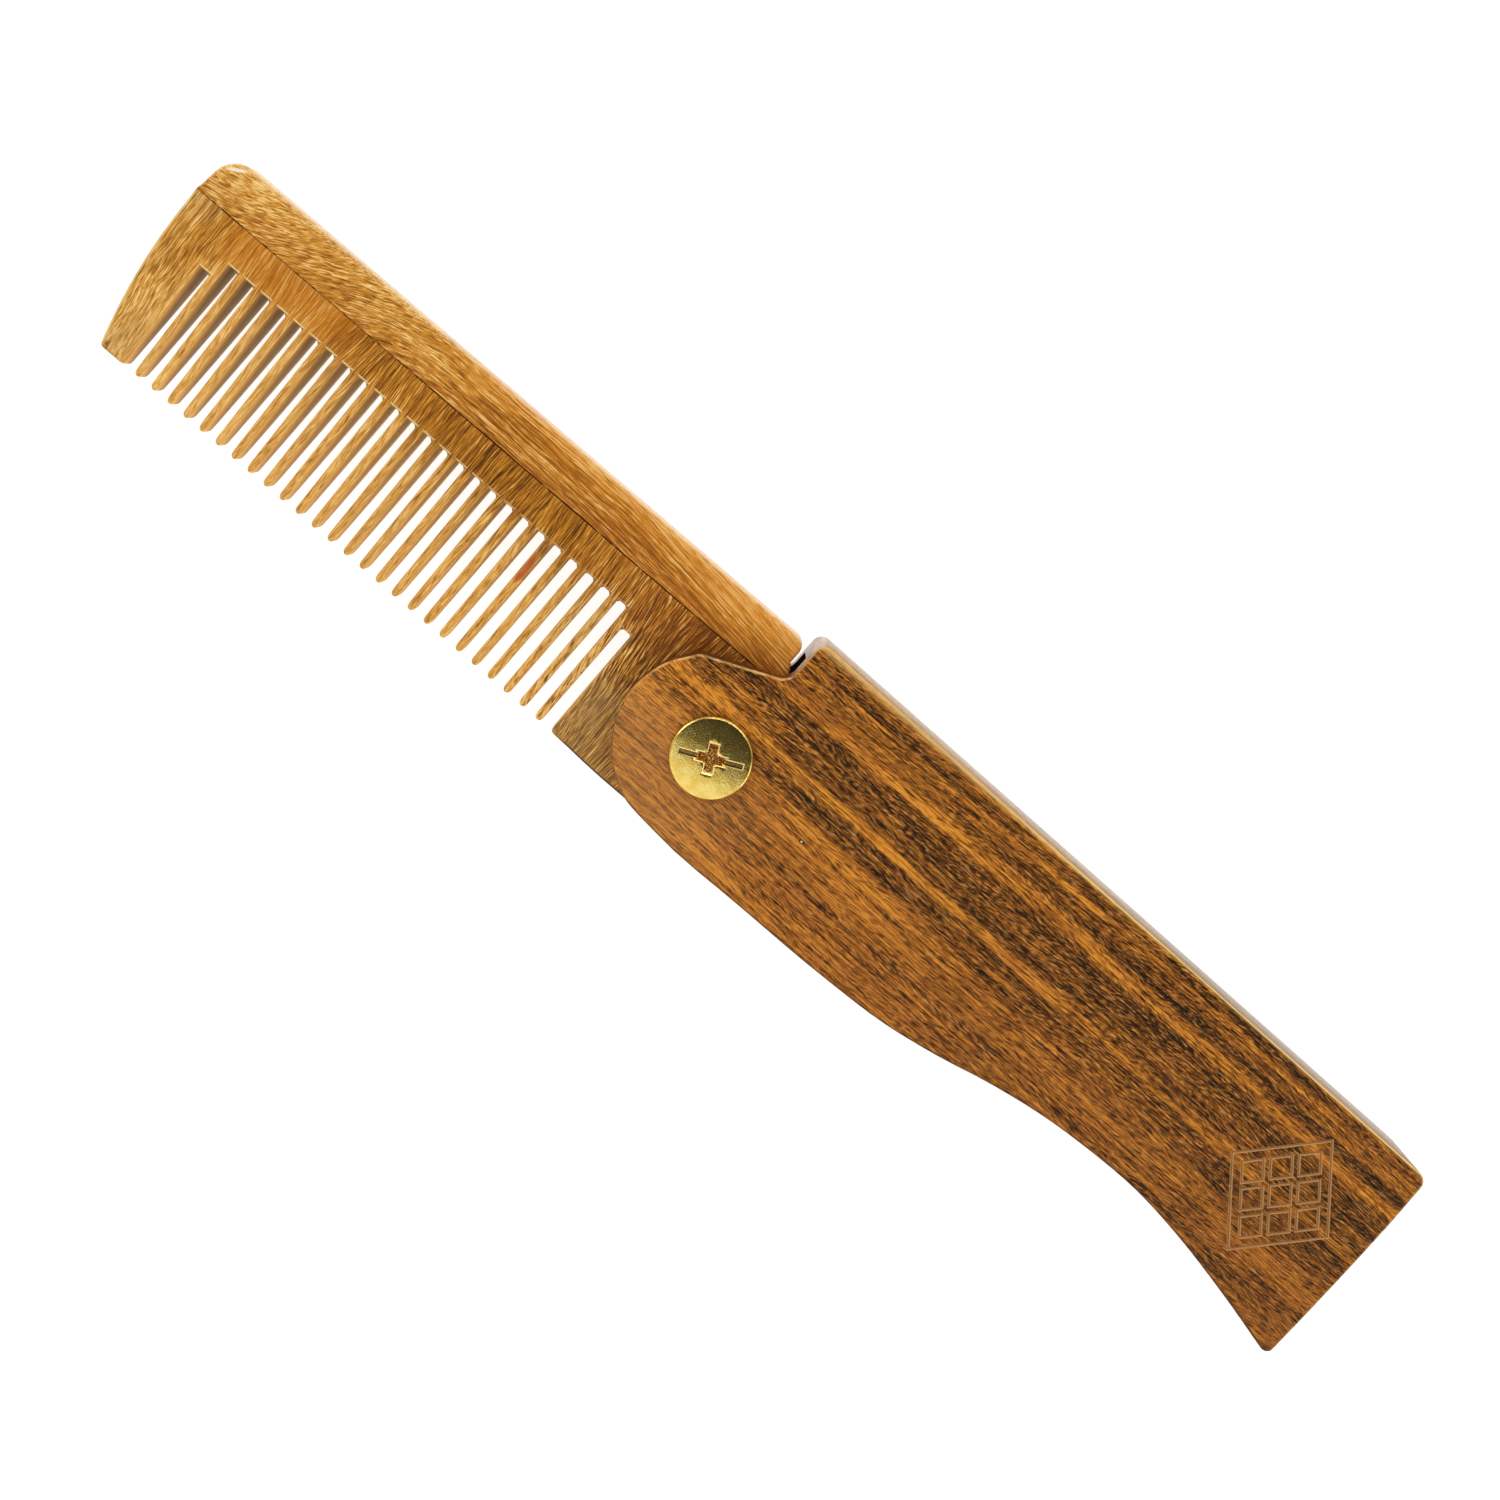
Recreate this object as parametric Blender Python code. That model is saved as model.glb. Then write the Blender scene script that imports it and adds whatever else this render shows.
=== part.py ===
# Folding wooden comb, lying flat and open: a slotted handle, a comb blade of two glued woods,
# and a brass binding screw that is the pivot.
# Z runs along the pivot, X along the handle to its far end, Y towards the handle's back.
# The origin is on the pivot axis, at the outer face of the rear screw head.

import math

import bmesh
import bpy
from mathutils import Vector
from mathutils.geometry import delaunay_2d_cdt

MM = 0.001

# Stack along the pivot
REAR_HEAD_HEIGHT = 1.2 * MM
HEAD_GAP = 0.1 * MM
HANDLE_THICKNESS = 9.8 * MM
SLOT_WIDTH = 5.2 * MM
BLADE_THICKNESS = 4.8 * MM
FRONT_HEAD_HEIGHT = 1.1 * MM

# Handle outline
BACK_Y = 18.92 * MM
NOTCH_X = 0.78 * MM
NOTCH_FLOOR_Y = 12.86 * MM
NOTCH_FILLET = 2.0 * MM
NOTCH_CORNER_RADIUS = 1.3 * MM
HEAD_CORNER_X = -9.15 * MM
HEAD_CORNER_Y = 8.3 * MM
HEAD_CORNER_RADIUS = 2.5 * MM
FAR_TOP_X = 95.68 * MM
FAR_TOP_RADIUS = 1.3 * MM
FAR_LOW_X = 96.36 * MM
FAR_LOW_Y = -9.5 * MM
FAR_LOW_RADIUS = 0.9 * MM
FAR_END_CROWN = 0.17 * MM
EDGE_RADIUS = 0.3 * MM
BACK_EDGE_RADIUS = 0.45 * MM
BACK_WORN_RADIUS = 1.15 * MM
BACK_WORN_END_X = 58.0 * MM

# Rounded head and wavy lower edge of the handle, from the head's corner to the far end: X and Y in mm
HANDLE_CURVE = (
    (-11.45, 4.70),
    (-12.30, 0.40),
    (-11.35, -4.20),
    (-8.80, -8.00),
    (-5.00, -10.40),
    (0.50, -11.20),
    (15.00, -11.15),
    (28.00, -10.80),
    (36.40, -10.15),
    (43.40, -8.85),
    (50.40, -7.10),
    (57.50, -5.80),
    (64.50, -5.15),
    (71.50, -5.00),
    (78.70, -5.75),
    (87.00, -7.30),
)

# Where the far end's crown and the worn back get points, and how finely curves are drawn
FAR_END_SHARES = (0.25, 0.5, 0.75)
BACK_SHARES = (1.0, 0.75, 0.5, 0.25)
CORNER_STEPS = 5
CURVE_STEPS = 4

# Slot milled into the handle for the blade
SLOT_TOP_Y = 15.93 * MM
SLOT_END_X = 91.8 * MM

# Comb blade, in its own axes: it points to -X from the pivot, teeth to -Y
BLADE_TURN = math.radians(1.0)
SPINE_TOP_Y = 17.2 * MM
SPINE_TOP_FREE_Y = 17.03 * MM
GLUE_LINE_Y = 11.17 * MM
GLUE_GAP = 0.15 * MM
FREE_END_RADIUS = 79.0 * MM
FREE_END_X = -90.2 * MM
FREE_END_CENTRE_Y = 8.2 * MM
SPINE_CORNER_RADIUS = 3.3 * MM
SPINE_BACK_ROUNDING = 1.0 * MM
SPINE_END_X = 0.06 * MM
SPINE_END_LOW_Y = 14.3 * MM
SPINE_END_RADIUS = 1.3 * MM
SPINE_SHOULDER_Y = 13.0 * MM
SPINE_SHOULDER_X = 1.0 * MM
HEEL_RADIUS = 11.25 * MM
END_ROUNDING = 0.4 * MM
GLUE_EDGE = 0.04 * MM

# Teeth
TOOTH_COUNT = 26
TOOTH_PITCH = 2.5432 * MM
FIRST_TOOTH_X = -81.96 * MM
TOOTH_ROOT_WIDTH = 1.16 * MM
TOOTH_TIP_WIDTH = 1.05 * MM
TOOTH_TIP_Y = -11.15 * MM
TOOTH_TIP_LENGTH = 0.7 * MM
TOOTH_TIP_THICKNESS = 2.3 * MM
GRIND_POWER = 1.25
TOOTH_ROUNDING = 0.28 * MM
TIP_ROUNDING = 0.36 * MM
TOOTH_ROWS_Y = (3.0 * MM, -1.0 * MM, -5.0 * MM, -9.0 * MM)
GAP_ROOT_Y = 6.6 * MM
SHORT_ROOT_Y = 4.27 * MM
GUARD_EDGE_X = -83.93 * MM
GUARD_LOW_X = -87.73 * MM
HEEL_EDGE_X = -16.3 * MM
HEEL_FULL_X = -8.0 * MM
HEEL_COLUMNS = 3
HEEL_ARC_STEPS = 24
TIP_STEPS = 6

# Brass binding screw
HEAD_RADIUS = 5.0 * MM
BARREL_RADIUS = 2.5 * MM
PIVOT_BORE_RADIUS = 2.58 * MM
THREAD_BORE_RADIUS = 1.9 * MM
SHANK_RADIUS = 1.8 * MM
SHANK_LENGTH = 7.0 * MM
BARREL_FLOOR = 1.8 * MM
BARREL_SHORT = 0.3 * MM
DRIVE_TURN = math.radians(27.0)
DRIVE_SLOT_LENGTH = 7.8 * MM
DRIVE_SLOT_WIDTH = 0.65 * MM
DRIVE_SLOT_DEPTH = 0.45 * MM
CROSS_LENGTH = 4.1 * MM
CROSS_WIDTH = 1.1 * MM
CROSS_DEPTH = 0.8 * MM
ROUND_SEGMENTS = 48

# Both screw heads: shares of the head's radius, and of its height down from its outer face
HEAD_PROFILE = (
    (0.0, 0.0),
    (0.90, 0.0),
    (0.965, 0.12),
    (0.995, 0.35),
    (1.0, 0.65),
    (0.985, 1.0),
)

# Values that follow from the sizes above
HANDLE_BOTTOM_Z = REAR_HEAD_HEIGHT + HEAD_GAP
HANDLE_TOP_Z = HANDLE_BOTTOM_Z + HANDLE_THICKNESS
MIDDLE_Z = HANDLE_BOTTOM_Z + HANDLE_THICKNESS / 2
FRONT_HEAD_Z = HANDLE_TOP_Z + HEAD_GAP
BLADE_HALF = BLADE_THICKNESS / 2


def clear_scene():
    for item in list(bpy.data.objects):
        bpy.data.objects.remove(item)


def make_material(name, colour, roughness, metallic):
    material = bpy.data.materials.new(name)
    material.use_nodes = True
    shader = material.node_tree.nodes["Principled BSDF"]
    shader.inputs["Base Color"].default_value = (*colour, 1.0)
    shader.inputs["Roughness"].default_value = roughness
    shader.inputs["Metallic"].default_value = metallic
    material.diffuse_color = (*colour, 1.0)
    return material


def add_object(name, mesh, material):
    item = bpy.data.objects.new(name, mesh)
    bpy.context.scene.collection.objects.link(item)
    mesh.materials.append(material)
    mesh.shade_smooth()
    mesh.set_sharp_from_angle(angle=math.radians(35))
    return item


def cut(target, cutter):
    cutter.hide_render = True
    cutter.display_type = "WIRE"
    modifier = target.modifiers.new(cutter.name, "BOOLEAN")
    modifier.operation = "DIFFERENCE"
    modifier.solver = "EXACT"
    modifier.object = cutter


def box_cutter(name, low, high):
    shape = bmesh.new()
    bmesh.ops.create_cube(shape, size=1.0)
    size = Vector(high) - Vector(low)
    middle = (Vector(high) + Vector(low)) / 2
    bmesh.ops.scale(shape, verts=shape.verts, vec=size)
    bmesh.ops.translate(shape, verts=shape.verts, vec=middle)
    mesh = bpy.data.meshes.new(name)
    shape.to_mesh(mesh)
    shape.free()
    item = bpy.data.objects.new(name, mesh)
    bpy.context.scene.collection.objects.link(item)
    return item


def turned_mesh(name, profile, segments):
    # profile holds (radius, z) pairs from the top of the axis down the outside to the bottom of the axis
    shape = bmesh.new()
    verts = [shape.verts.new((radius, 0.0, z)) for radius, z in profile]
    edges = [shape.edges.new(pair) for pair in zip(verts, verts[1:])]
    bmesh.ops.spin(
        shape,
        geom=verts + edges,
        cent=(0, 0, 0),
        axis=(0, 0, 1),
        angle=2 * math.pi,
        steps=segments,
    )
    bmesh.ops.remove_doubles(shape, verts=shape.verts, dist=1e-7)
    bmesh.ops.recalc_face_normals(shape, faces=shape.faces)
    mesh = bpy.data.meshes.new(name)
    shape.to_mesh(mesh)
    shape.free()
    return mesh


def smooth_run(points, steps):
    # cubic curve through the points, with its slopes weighted by the spans on both sides
    spans = [(b - a).length for a, b in zip(points, points[1:])]
    chords = [(b - a) / span for a, b, span in zip(points, points[1:], spans)]
    slopes = [chords[0]]
    for before, after, near, far in zip(chords, chords[1:], spans, spans[1:]):
        slopes.append((before * far + after * near) / (near + far))
    slopes.append(chords[-1])
    curve = [points[0]]
    for i, span in enumerate(spans):
        for k in range(1, steps + 1):
            t = k / steps
            start_part = points[i] * (2 * t**3 - 3 * t**2 + 1) + slopes[i] * span * (t**3 - 2 * t**2 + t)
            end_part = points[i + 1] * (3 * t**2 - 2 * t**3) + slopes[i + 1] * span * (t**3 - t**2)
            curve.append(start_part + end_part)
    return curve


def round_corner(before, corner, after, radius, steps):
    to_before = (before - corner).normalized()
    to_after = (after - corner).normalized()
    half = math.acos(to_before.dot(to_after)) / 2
    reach = radius / math.tan(half)
    centre = corner + (to_before + to_after).normalized() * radius / math.sin(half)
    start = corner + to_before * reach - centre
    end = corner + to_after * reach - centre
    sweep = math.atan2(start.x * end.y - start.y * end.x, start.dot(end))
    points = []
    for k in range(steps + 1):
        angle = sweep * k / steps
        turned = Vector((
            start.x * math.cos(angle) - start.y * math.sin(angle),
            start.x * math.sin(angle) + start.y * math.cos(angle),
        ))
        points.append(centre + turned)
    return points


def inward_normals(outline):
    normals = []
    count = len(outline)
    for i, point in enumerate(outline):
        ahead = (outline[(i + 1) % count] - point).normalized()
        behind = (point - outline[i - 1]).normalized()
        bisector = Vector((-ahead.y - behind.y, ahead.x + behind.x)).normalized()
        across = Vector((-ahead.y, ahead.x))
        normals.append(bisector / max(bisector.dot(across), 0.5))
    return normals


def cap_faces(ring, inner):
    # triangles over one flat view of the ring, also through the inner points
    flat = [Vector((p.x, p.y)) / MM for p in ring] + [Vector((p.x, p.y)) / MM for p in inner]
    result = delaunay_2d_cdt(flat, [], [list(range(len(ring)))], 1, 1e-5)
    sources = [origin[0] for origin in result[3]]
    return [[sources[k] for k in face] for face in result[2]]


def rounded_slab(name, outline, rounding, half_height, inner, arc_steps):
    # outline runs anticlockwise; rounding gives each point's edge radius, on both faces;
    # half_height(x, y) is half the thickness there; inner points shape the faces between the edges
    shape = bmesh.new()
    normals = inward_normals(outline)
    levels = [(-1, arc_steps - k) for k in range(arc_steps + 1)] + [(1, k) for k in range(arc_steps + 1)]
    rings = []
    for side, level in levels:
        angle = math.pi / 2 * level / arc_steps
        ring = []
        for point, normal, radius in zip(outline, normals, rounding):
            place = point + normal * radius * (1 - math.cos(angle))
            height = half_height(point.x, point.y) - radius * (1 - math.sin(angle))
            ring.append(shape.verts.new((place.x, place.y, side * height)))
        rings.append(ring)
    count = len(outline)
    for lower, upper in zip(rings, rings[1:]):
        for i in range(count):
            j = (i + 1) % count
            shape.faces.new((lower[i], lower[j], upper[j], upper[i]))
    for side, ring in ((-1, rings[0]), (1, rings[-1])):
        inside = [shape.verts.new((p.x, p.y, side * half_height(p.x, p.y))) for p in inner]
        everything = ring + inside
        for face in cap_faces([v.co for v in ring], [v.co for v in inside]):
            corners = [everything[k] for k in face]
            if side < 0:
                corners.reverse()
            shape.faces.new(corners)
    bmesh.ops.dissolve_degenerate(shape, dist=1e-7, edges=shape.edges)
    mesh = bpy.data.meshes.new(name)
    shape.to_mesh(mesh)
    shape.free()
    return mesh


def handle_outline():
    # points with their edge rounding, anticlockwise from the notch's top corner
    back_left = Vector((NOTCH_X, BACK_Y))
    notch_floor = Vector((NOTCH_X, NOTCH_FLOOR_Y))
    far_top = Vector((FAR_TOP_X, BACK_Y))
    far_low = Vector((FAR_LOW_X, FAR_LOW_Y))
    head_corner = Vector((HEAD_CORNER_X, HEAD_CORNER_Y))
    curve = [Vector((x * MM, y * MM)) for x, y in HANDLE_CURVE]
    corner = round_corner(far_top, back_left, notch_floor, NOTCH_CORNER_RADIUS, CORNER_STEPS)
    fillet = round_corner(back_left, notch_floor, head_corner, NOTCH_FILLET, CORNER_STEPS)
    ramp_end = round_corner(notch_floor, head_corner, curve[0], HEAD_CORNER_RADIUS, CORNER_STEPS)
    lower = ramp_end + smooth_run([ramp_end[-1]] + curve + [far_low], CURVE_STEPS)[1:-1]
    crown = [Vector((4 * t * (1 - t) * FAR_END_CROWN, 0)) for t in FAR_END_SHARES]
    far_end = [far_low.lerp(far_top, t) + out for t, out in zip(FAR_END_SHARES, crown)]
    low_corner = round_corner(lower[-1], far_low, far_end[0], FAR_LOW_RADIUS, CORNER_STEPS)
    top_corner = round_corner(far_end[-1], far_top, back_left, FAR_TOP_RADIUS, CORNER_STEPS)
    back = [Vector((BACK_WORN_END_X * t, BACK_Y)) for t in BACK_SHARES]
    outline = []
    rounding = []
    for k, point in enumerate(corner):
        share = k / (len(corner) - 1)
        outline.append(point)
        rounding.append(BACK_WORN_RADIUS * (1 - share) + EDGE_RADIUS * share)
    for point in fillet + lower + low_corner + far_end:
        outline.append(point)
        rounding.append(EDGE_RADIUS)
    for point in top_corner + back:
        wear = max(0.0, 1 - point.x / BACK_WORN_END_X)
        outline.append(point)
        rounding.append(BACK_EDGE_RADIUS + (BACK_WORN_RADIUS - BACK_EDGE_RADIUS) * wear)
    return outline, rounding


def make_handle(material):
    outline, rounding = handle_outline()
    mesh = rounded_slab("handle", outline, rounding, lambda x, y: HANDLE_THICKNESS / 2, [], 3)
    handle = add_object("handle", mesh, material)
    handle.location.z = MIDDLE_Z
    beyond = 30 * MM
    slot = box_cutter(
        "slot_cutter",
        (-beyond, -beyond, MIDDLE_Z - SLOT_WIDTH / 2),
        (SLOT_END_X, SLOT_TOP_Y, MIDDLE_Z + SLOT_WIDTH / 2),
    )
    cut(handle, slot)
    cut(handle, pivot_cutter("handle_bore_cutter"))
    return handle


def pivot_cutter(name):
    reach = 2 * HANDLE_TOP_Z
    profile = ((0, reach), (PIVOT_BORE_RADIUS, reach), (PIVOT_BORE_RADIUS, -reach), (0, -reach))
    item = bpy.data.objects.new(name, turned_mesh(name, profile, ROUND_SEGMENTS))
    bpy.context.scene.collection.objects.link(item)
    return item


def free_end_x(y):
    centre_x = FREE_END_X + FREE_END_RADIUS
    return centre_x - math.sqrt(FREE_END_RADIUS**2 - (y - FREE_END_CENTRE_Y) ** 2)


def free_end_points(start_y, end_y, count):
    heights = [start_y + (end_y - start_y) * k / count for k in range(count + 1)]
    return [Vector((free_end_x(y), y)) for y in heights]


def make_spine(material, pivot):
    low_y = GLUE_LINE_Y + GLUE_GAP / 2
    end_low = Vector((math.sqrt(HEEL_RADIUS**2 - GLUE_LINE_Y**2), low_y))
    end_top = Vector((SPINE_END_X, SPINE_TOP_Y))
    free_top = Vector((free_end_x(SPINE_TOP_FREE_Y), SPINE_TOP_FREE_Y))
    shoulder = Vector((SPINE_SHOULDER_X, SPINE_SHOULDER_Y))
    end_foot = Vector((SPINE_END_X, SPINE_END_LOW_Y))
    free_low = Vector((free_end_x(low_y), low_y))
    end_corner = round_corner(end_foot, end_top, free_top, SPINE_END_RADIUS, 4)
    free_corner = round_corner(end_top, free_top, free_low, SPINE_CORNER_RADIUS, 8)
    rows = [(free_low, GLUE_EDGE), (end_low, GLUE_EDGE), (shoulder, END_ROUNDING), (end_foot, END_ROUNDING)]
    for k, point in enumerate(end_corner):
        share = k / (len(end_corner) - 1)
        rows.append((point, END_ROUNDING + (SPINE_BACK_ROUNDING - END_ROUNDING) * share))
    rows += [(point, SPINE_BACK_ROUNDING) for point in free_corner[:-1]]
    free_end = free_end_points(free_corner[-1].y, low_y, 4)
    for k, point in enumerate(free_end[:-1]):
        share = k / (len(free_end) - 1)
        rows.append((point, SPINE_BACK_ROUNDING + (END_ROUNDING - SPINE_BACK_ROUNDING) * share))
    outline = [point for point, radius in rows]
    rounding = [radius for point, radius in rows]
    mesh = rounded_slab("comb_spine", outline, rounding, lambda x, y: BLADE_HALF, [], 4)
    spine = add_object("comb_spine", mesh, material)
    spine.location.z = MIDDLE_Z
    spine.parent = pivot
    return spine


def tooth_half_thickness(x, y):
    # full at the gap roots, ground thinner to the tips; the grinding fades out over the heel
    share = min(max((GAP_ROOT_Y - y) / (GAP_ROOT_Y - TOOTH_TIP_Y), 0.0), 1.0)
    ground = share**GRIND_POWER
    fade = min(max((HEEL_FULL_X - x) / (HEEL_FULL_X - HEEL_EDGE_X), 0.0), 1.0)
    fade = fade * fade * (3 - 2 * fade)
    return BLADE_HALF - (BLADE_THICKNESS - TOOTH_TIP_THICKNESS) / 2 * ground * fade


def tooth_half_width(y):
    share = (GAP_ROOT_Y - y) / (GAP_ROOT_Y - TOOTH_TIP_Y)
    return (TOOTH_ROOT_WIDTH + (TOOTH_TIP_WIDTH - TOOTH_ROOT_WIDTH) * share) / 2


def tooth_rows(number):
    # outline points and rounding of one tooth, down its left side, round the tip and up its right side
    centre = FIRST_TOOTH_X + number * TOOTH_PITCH
    left_root = SHORT_ROOT_Y if number == 0 else GAP_ROOT_Y
    right_root = SHORT_ROOT_Y if number == TOOTH_COUNT - 1 else GAP_ROOT_Y
    tip_start = TOOTH_TIP_Y + TOOTH_TIP_LENGTH
    rows = []
    for y in (left_root,) + TOOTH_ROWS_Y:
        rows.append((Vector((centre - tooth_half_width(y), y)), TOOTH_ROUNDING))
    for k in range(TIP_STEPS + 1):
        angle = math.pi * k / TIP_STEPS
        x = centre - tooth_half_width(tip_start) * math.cos(angle)
        rows.append((Vector((x, tip_start - TOOTH_TIP_LENGTH * math.sin(angle))), TIP_ROUNDING))
    for y in TOOTH_ROWS_Y[::-1] + (right_root,):
        rows.append((Vector((centre + tooth_half_width(y), y)), TOOTH_ROUNDING))
    return rows


def make_tooth_board(material, pivot):
    top_y = GLUE_LINE_Y - GLUE_GAP / 2
    guard_low = Vector((GUARD_LOW_X, TOOTH_TIP_Y))
    guard_tip = Vector((GUARD_EDGE_X, TOOTH_TIP_Y))
    guard_root = Vector((GUARD_EDGE_X, SHORT_ROOT_Y))
    heel_root = Vector((HEEL_EDGE_X, SHORT_ROOT_Y))
    heel_low = Vector((HEEL_EDGE_X, TOOTH_TIP_Y))
    arc_start = -math.pi + math.asin(-TOOTH_TIP_Y / HEEL_RADIUS)
    arc_end = math.asin(top_y / HEEL_RADIUS)
    free_end = free_end_points(top_y, TOOTH_TIP_Y, 10)
    rows = [(free_end[0], GLUE_EDGE)]
    rows += [(point, END_ROUNDING) for point in free_end[1:-1]]
    low_corner = round_corner(free_end[-2], guard_low, guard_tip, 2 * TOOTH_ROUNDING, 2)
    tip_corner = round_corner(guard_low, guard_tip, guard_root, 2 * TOOTH_ROUNDING, 3)
    heel_corner = round_corner(heel_root, heel_low, Vector((0, TOOTH_TIP_Y)), 2 * TOOTH_ROUNDING, 3)
    rows += [(point, TOOTH_ROUNDING) for point in low_corner + tip_corner]
    rows += [(Vector((GUARD_EDGE_X, y)), TOOTH_ROUNDING) for y in TOOTH_ROWS_Y[::-1]]
    rows.append((guard_root, TOOTH_ROUNDING))
    for number in range(TOOTH_COUNT):
        rows += tooth_rows(number)
    rows.append((heel_root, TOOTH_ROUNDING))
    rows += [(Vector((HEEL_EDGE_X, y)), TOOTH_ROUNDING) for y in TOOTH_ROWS_Y]
    rows += [(point, TOOTH_ROUNDING) for point in heel_corner]
    column_step = (HEEL_FULL_X - HEEL_EDGE_X) / HEEL_COLUMNS
    columns = [HEEL_EDGE_X + column_step * k for k in range(1, HEEL_COLUMNS + 1)]
    rows += [(Vector((x, TOOTH_TIP_Y)), TOOTH_ROUNDING) for x in columns]
    for k in range(HEEL_ARC_STEPS + 1):
        angle = arc_start + (arc_end - arc_start) * k / HEEL_ARC_STEPS
        place = Vector((math.cos(angle), math.sin(angle))) * HEEL_RADIUS
        rows.append((place, TOOTH_ROUNDING if k < HEEL_ARC_STEPS else GLUE_EDGE))
    outline = [point for point, radius in rows]
    rounding = [radius for point, radius in rows]
    guard_middle = (GUARD_EDGE_X + FREE_END_X) / 2
    inner = [Vector((x, y)) for x in columns for y in (GAP_ROOT_Y,) + TOOTH_ROWS_Y]
    inner += [Vector((guard_middle, y)) for y in (GAP_ROOT_Y,) + TOOTH_ROWS_Y]
    mesh = rounded_slab("tooth_board", outline, rounding, tooth_half_thickness, inner, 2)
    board = add_object("tooth_board", mesh, material)
    board.location.z = MIDDLE_Z
    board.parent = pivot
    cut(board, pivot_cutter("blade_bore_cutter"))
    return board


def make_post(material):
    # binding post: a plain flat head behind the handle and a threaded barrel through it
    barrel_top = HANDLE_TOP_Z - BARREL_SHORT
    barrel = [
        (0, BARREL_FLOOR),
        (THREAD_BORE_RADIUS, BARREL_FLOOR),
        (THREAD_BORE_RADIUS, barrel_top),
        (BARREL_RADIUS, barrel_top),
        (BARREL_RADIUS, REAR_HEAD_HEIGHT),
    ]
    head = [(across * HEAD_RADIUS, up * REAR_HEAD_HEIGHT) for across, up in reversed(HEAD_PROFILE)]
    return add_object("post", turned_mesh("post", barrel + head, ROUND_SEGMENTS), material)


def make_screw(material):
    top = FRONT_HEAD_Z + FRONT_HEAD_HEIGHT
    head = [(across * HEAD_RADIUS, top - up * FRONT_HEAD_HEIGHT) for across, up in HEAD_PROFILE]
    shank_end = FRONT_HEAD_Z - SHANK_LENGTH
    shank = [(SHANK_RADIUS, FRONT_HEAD_Z), (SHANK_RADIUS, shank_end), (0, shank_end)]
    screw = add_object("screw", turned_mesh("screw", head + shank, ROUND_SEGMENTS), material)
    recesses = (
        ("drive_slot_cutter", DRIVE_SLOT_LENGTH, DRIVE_SLOT_WIDTH, DRIVE_SLOT_DEPTH, 0.0),
        ("cross_long_cutter", CROSS_LENGTH, CROSS_WIDTH, CROSS_DEPTH, 0.0),
        ("cross_short_cutter", CROSS_LENGTH, CROSS_WIDTH, CROSS_DEPTH, math.pi / 2),
    )
    for name, length, width, depth, turn in recesses:
        corner = Vector((length / 2, width / 2, depth))
        recess = box_cutter(name, -corner, corner)
        recess.location.z = top
        recess.rotation_euler.z = DRIVE_TURN + turn
        cut(screw, recess)
    return screw


def build():
    clear_scene()
    dark_wood = make_material("streaked dark wood", (0.30, 0.13, 0.035), 0.5, 0.0)
    light_wood = make_material("light comb wood", (0.52, 0.27, 0.07), 0.45, 0.0)
    spine_wood = make_material("light spine wood", (0.50, 0.24, 0.06), 0.45, 0.0)
    brass = make_material("screw brass", (0.83, 0.62, 0.25), 0.25, 1.0)
    post_brass = make_material("post brass", (0.80, 0.60, 0.25), 0.28, 1.0)
    pivot = bpy.data.objects.new("blade_pivot", None)
    bpy.context.scene.collection.objects.link(pivot)
    pivot.rotation_euler.z = BLADE_TURN
    make_handle(dark_wood)
    make_spine(spine_wood, pivot)
    make_tooth_board(light_wood, pivot)
    make_post(post_brass)
    make_screw(brass)


build()
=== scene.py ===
import math

import bpy
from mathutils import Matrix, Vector


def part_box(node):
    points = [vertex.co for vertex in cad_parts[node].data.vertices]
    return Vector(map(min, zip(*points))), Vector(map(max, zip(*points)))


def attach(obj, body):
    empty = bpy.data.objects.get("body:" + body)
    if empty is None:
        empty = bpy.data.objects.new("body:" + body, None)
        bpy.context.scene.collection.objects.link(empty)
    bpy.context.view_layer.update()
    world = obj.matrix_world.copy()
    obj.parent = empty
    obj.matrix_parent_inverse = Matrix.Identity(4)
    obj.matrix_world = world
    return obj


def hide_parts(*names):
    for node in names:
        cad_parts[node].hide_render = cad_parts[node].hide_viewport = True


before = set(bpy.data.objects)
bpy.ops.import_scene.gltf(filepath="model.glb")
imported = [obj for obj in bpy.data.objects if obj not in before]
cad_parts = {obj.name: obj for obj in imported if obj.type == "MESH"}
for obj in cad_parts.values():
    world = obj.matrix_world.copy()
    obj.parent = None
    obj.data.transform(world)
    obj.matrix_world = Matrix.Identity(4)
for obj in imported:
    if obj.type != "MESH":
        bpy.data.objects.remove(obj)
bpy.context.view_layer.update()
mm = 0.001
print("frame loaded:", ", ".join(sorted(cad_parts)))


# Modelling helpers
helperSpec = {
    "mergeWithin": 0.001 * mm,
    "levelWithin": 0.01 * mm,
    "flatWeight": 60,
}


def deselectAll():
    bpy.ops.object.select_all(action="DESELECT")


def makeActive(piece):
    deselectAll()
    piece.select_set(True)
    bpy.context.view_layer.objects.active = piece


def applyModifiers(piece):
    makeActive(piece)
    for modifier in list(piece.modifiers):
        bpy.ops.object.modifier_apply(modifier=modifier.name)


def settle(piece):
    # puts the piece's place into its mesh, so its object sits at the origin
    makeActive(piece)
    bpy.ops.object.transform_apply(location=True, rotation=True, scale=True)


def combine(piece, other, operation):
    modifier = piece.modifiers.new("combine", "BOOLEAN")
    modifier.operation = operation
    modifier.solver = "EXACT"
    modifier.object = other
    applyModifiers(piece)
    bpy.data.objects.remove(other)


def selectFaces(piece, rule):
    bpy.ops.object.mode_set(mode="EDIT")
    bpy.ops.mesh.select_mode(type="FACE")
    bpy.ops.mesh.select_all(action="DESELECT")
    bpy.ops.object.mode_set(mode="OBJECT")
    for face in piece.data.polygons:
        face.select = rule(face)
    bpy.ops.object.mode_set(mode="EDIT")


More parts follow.
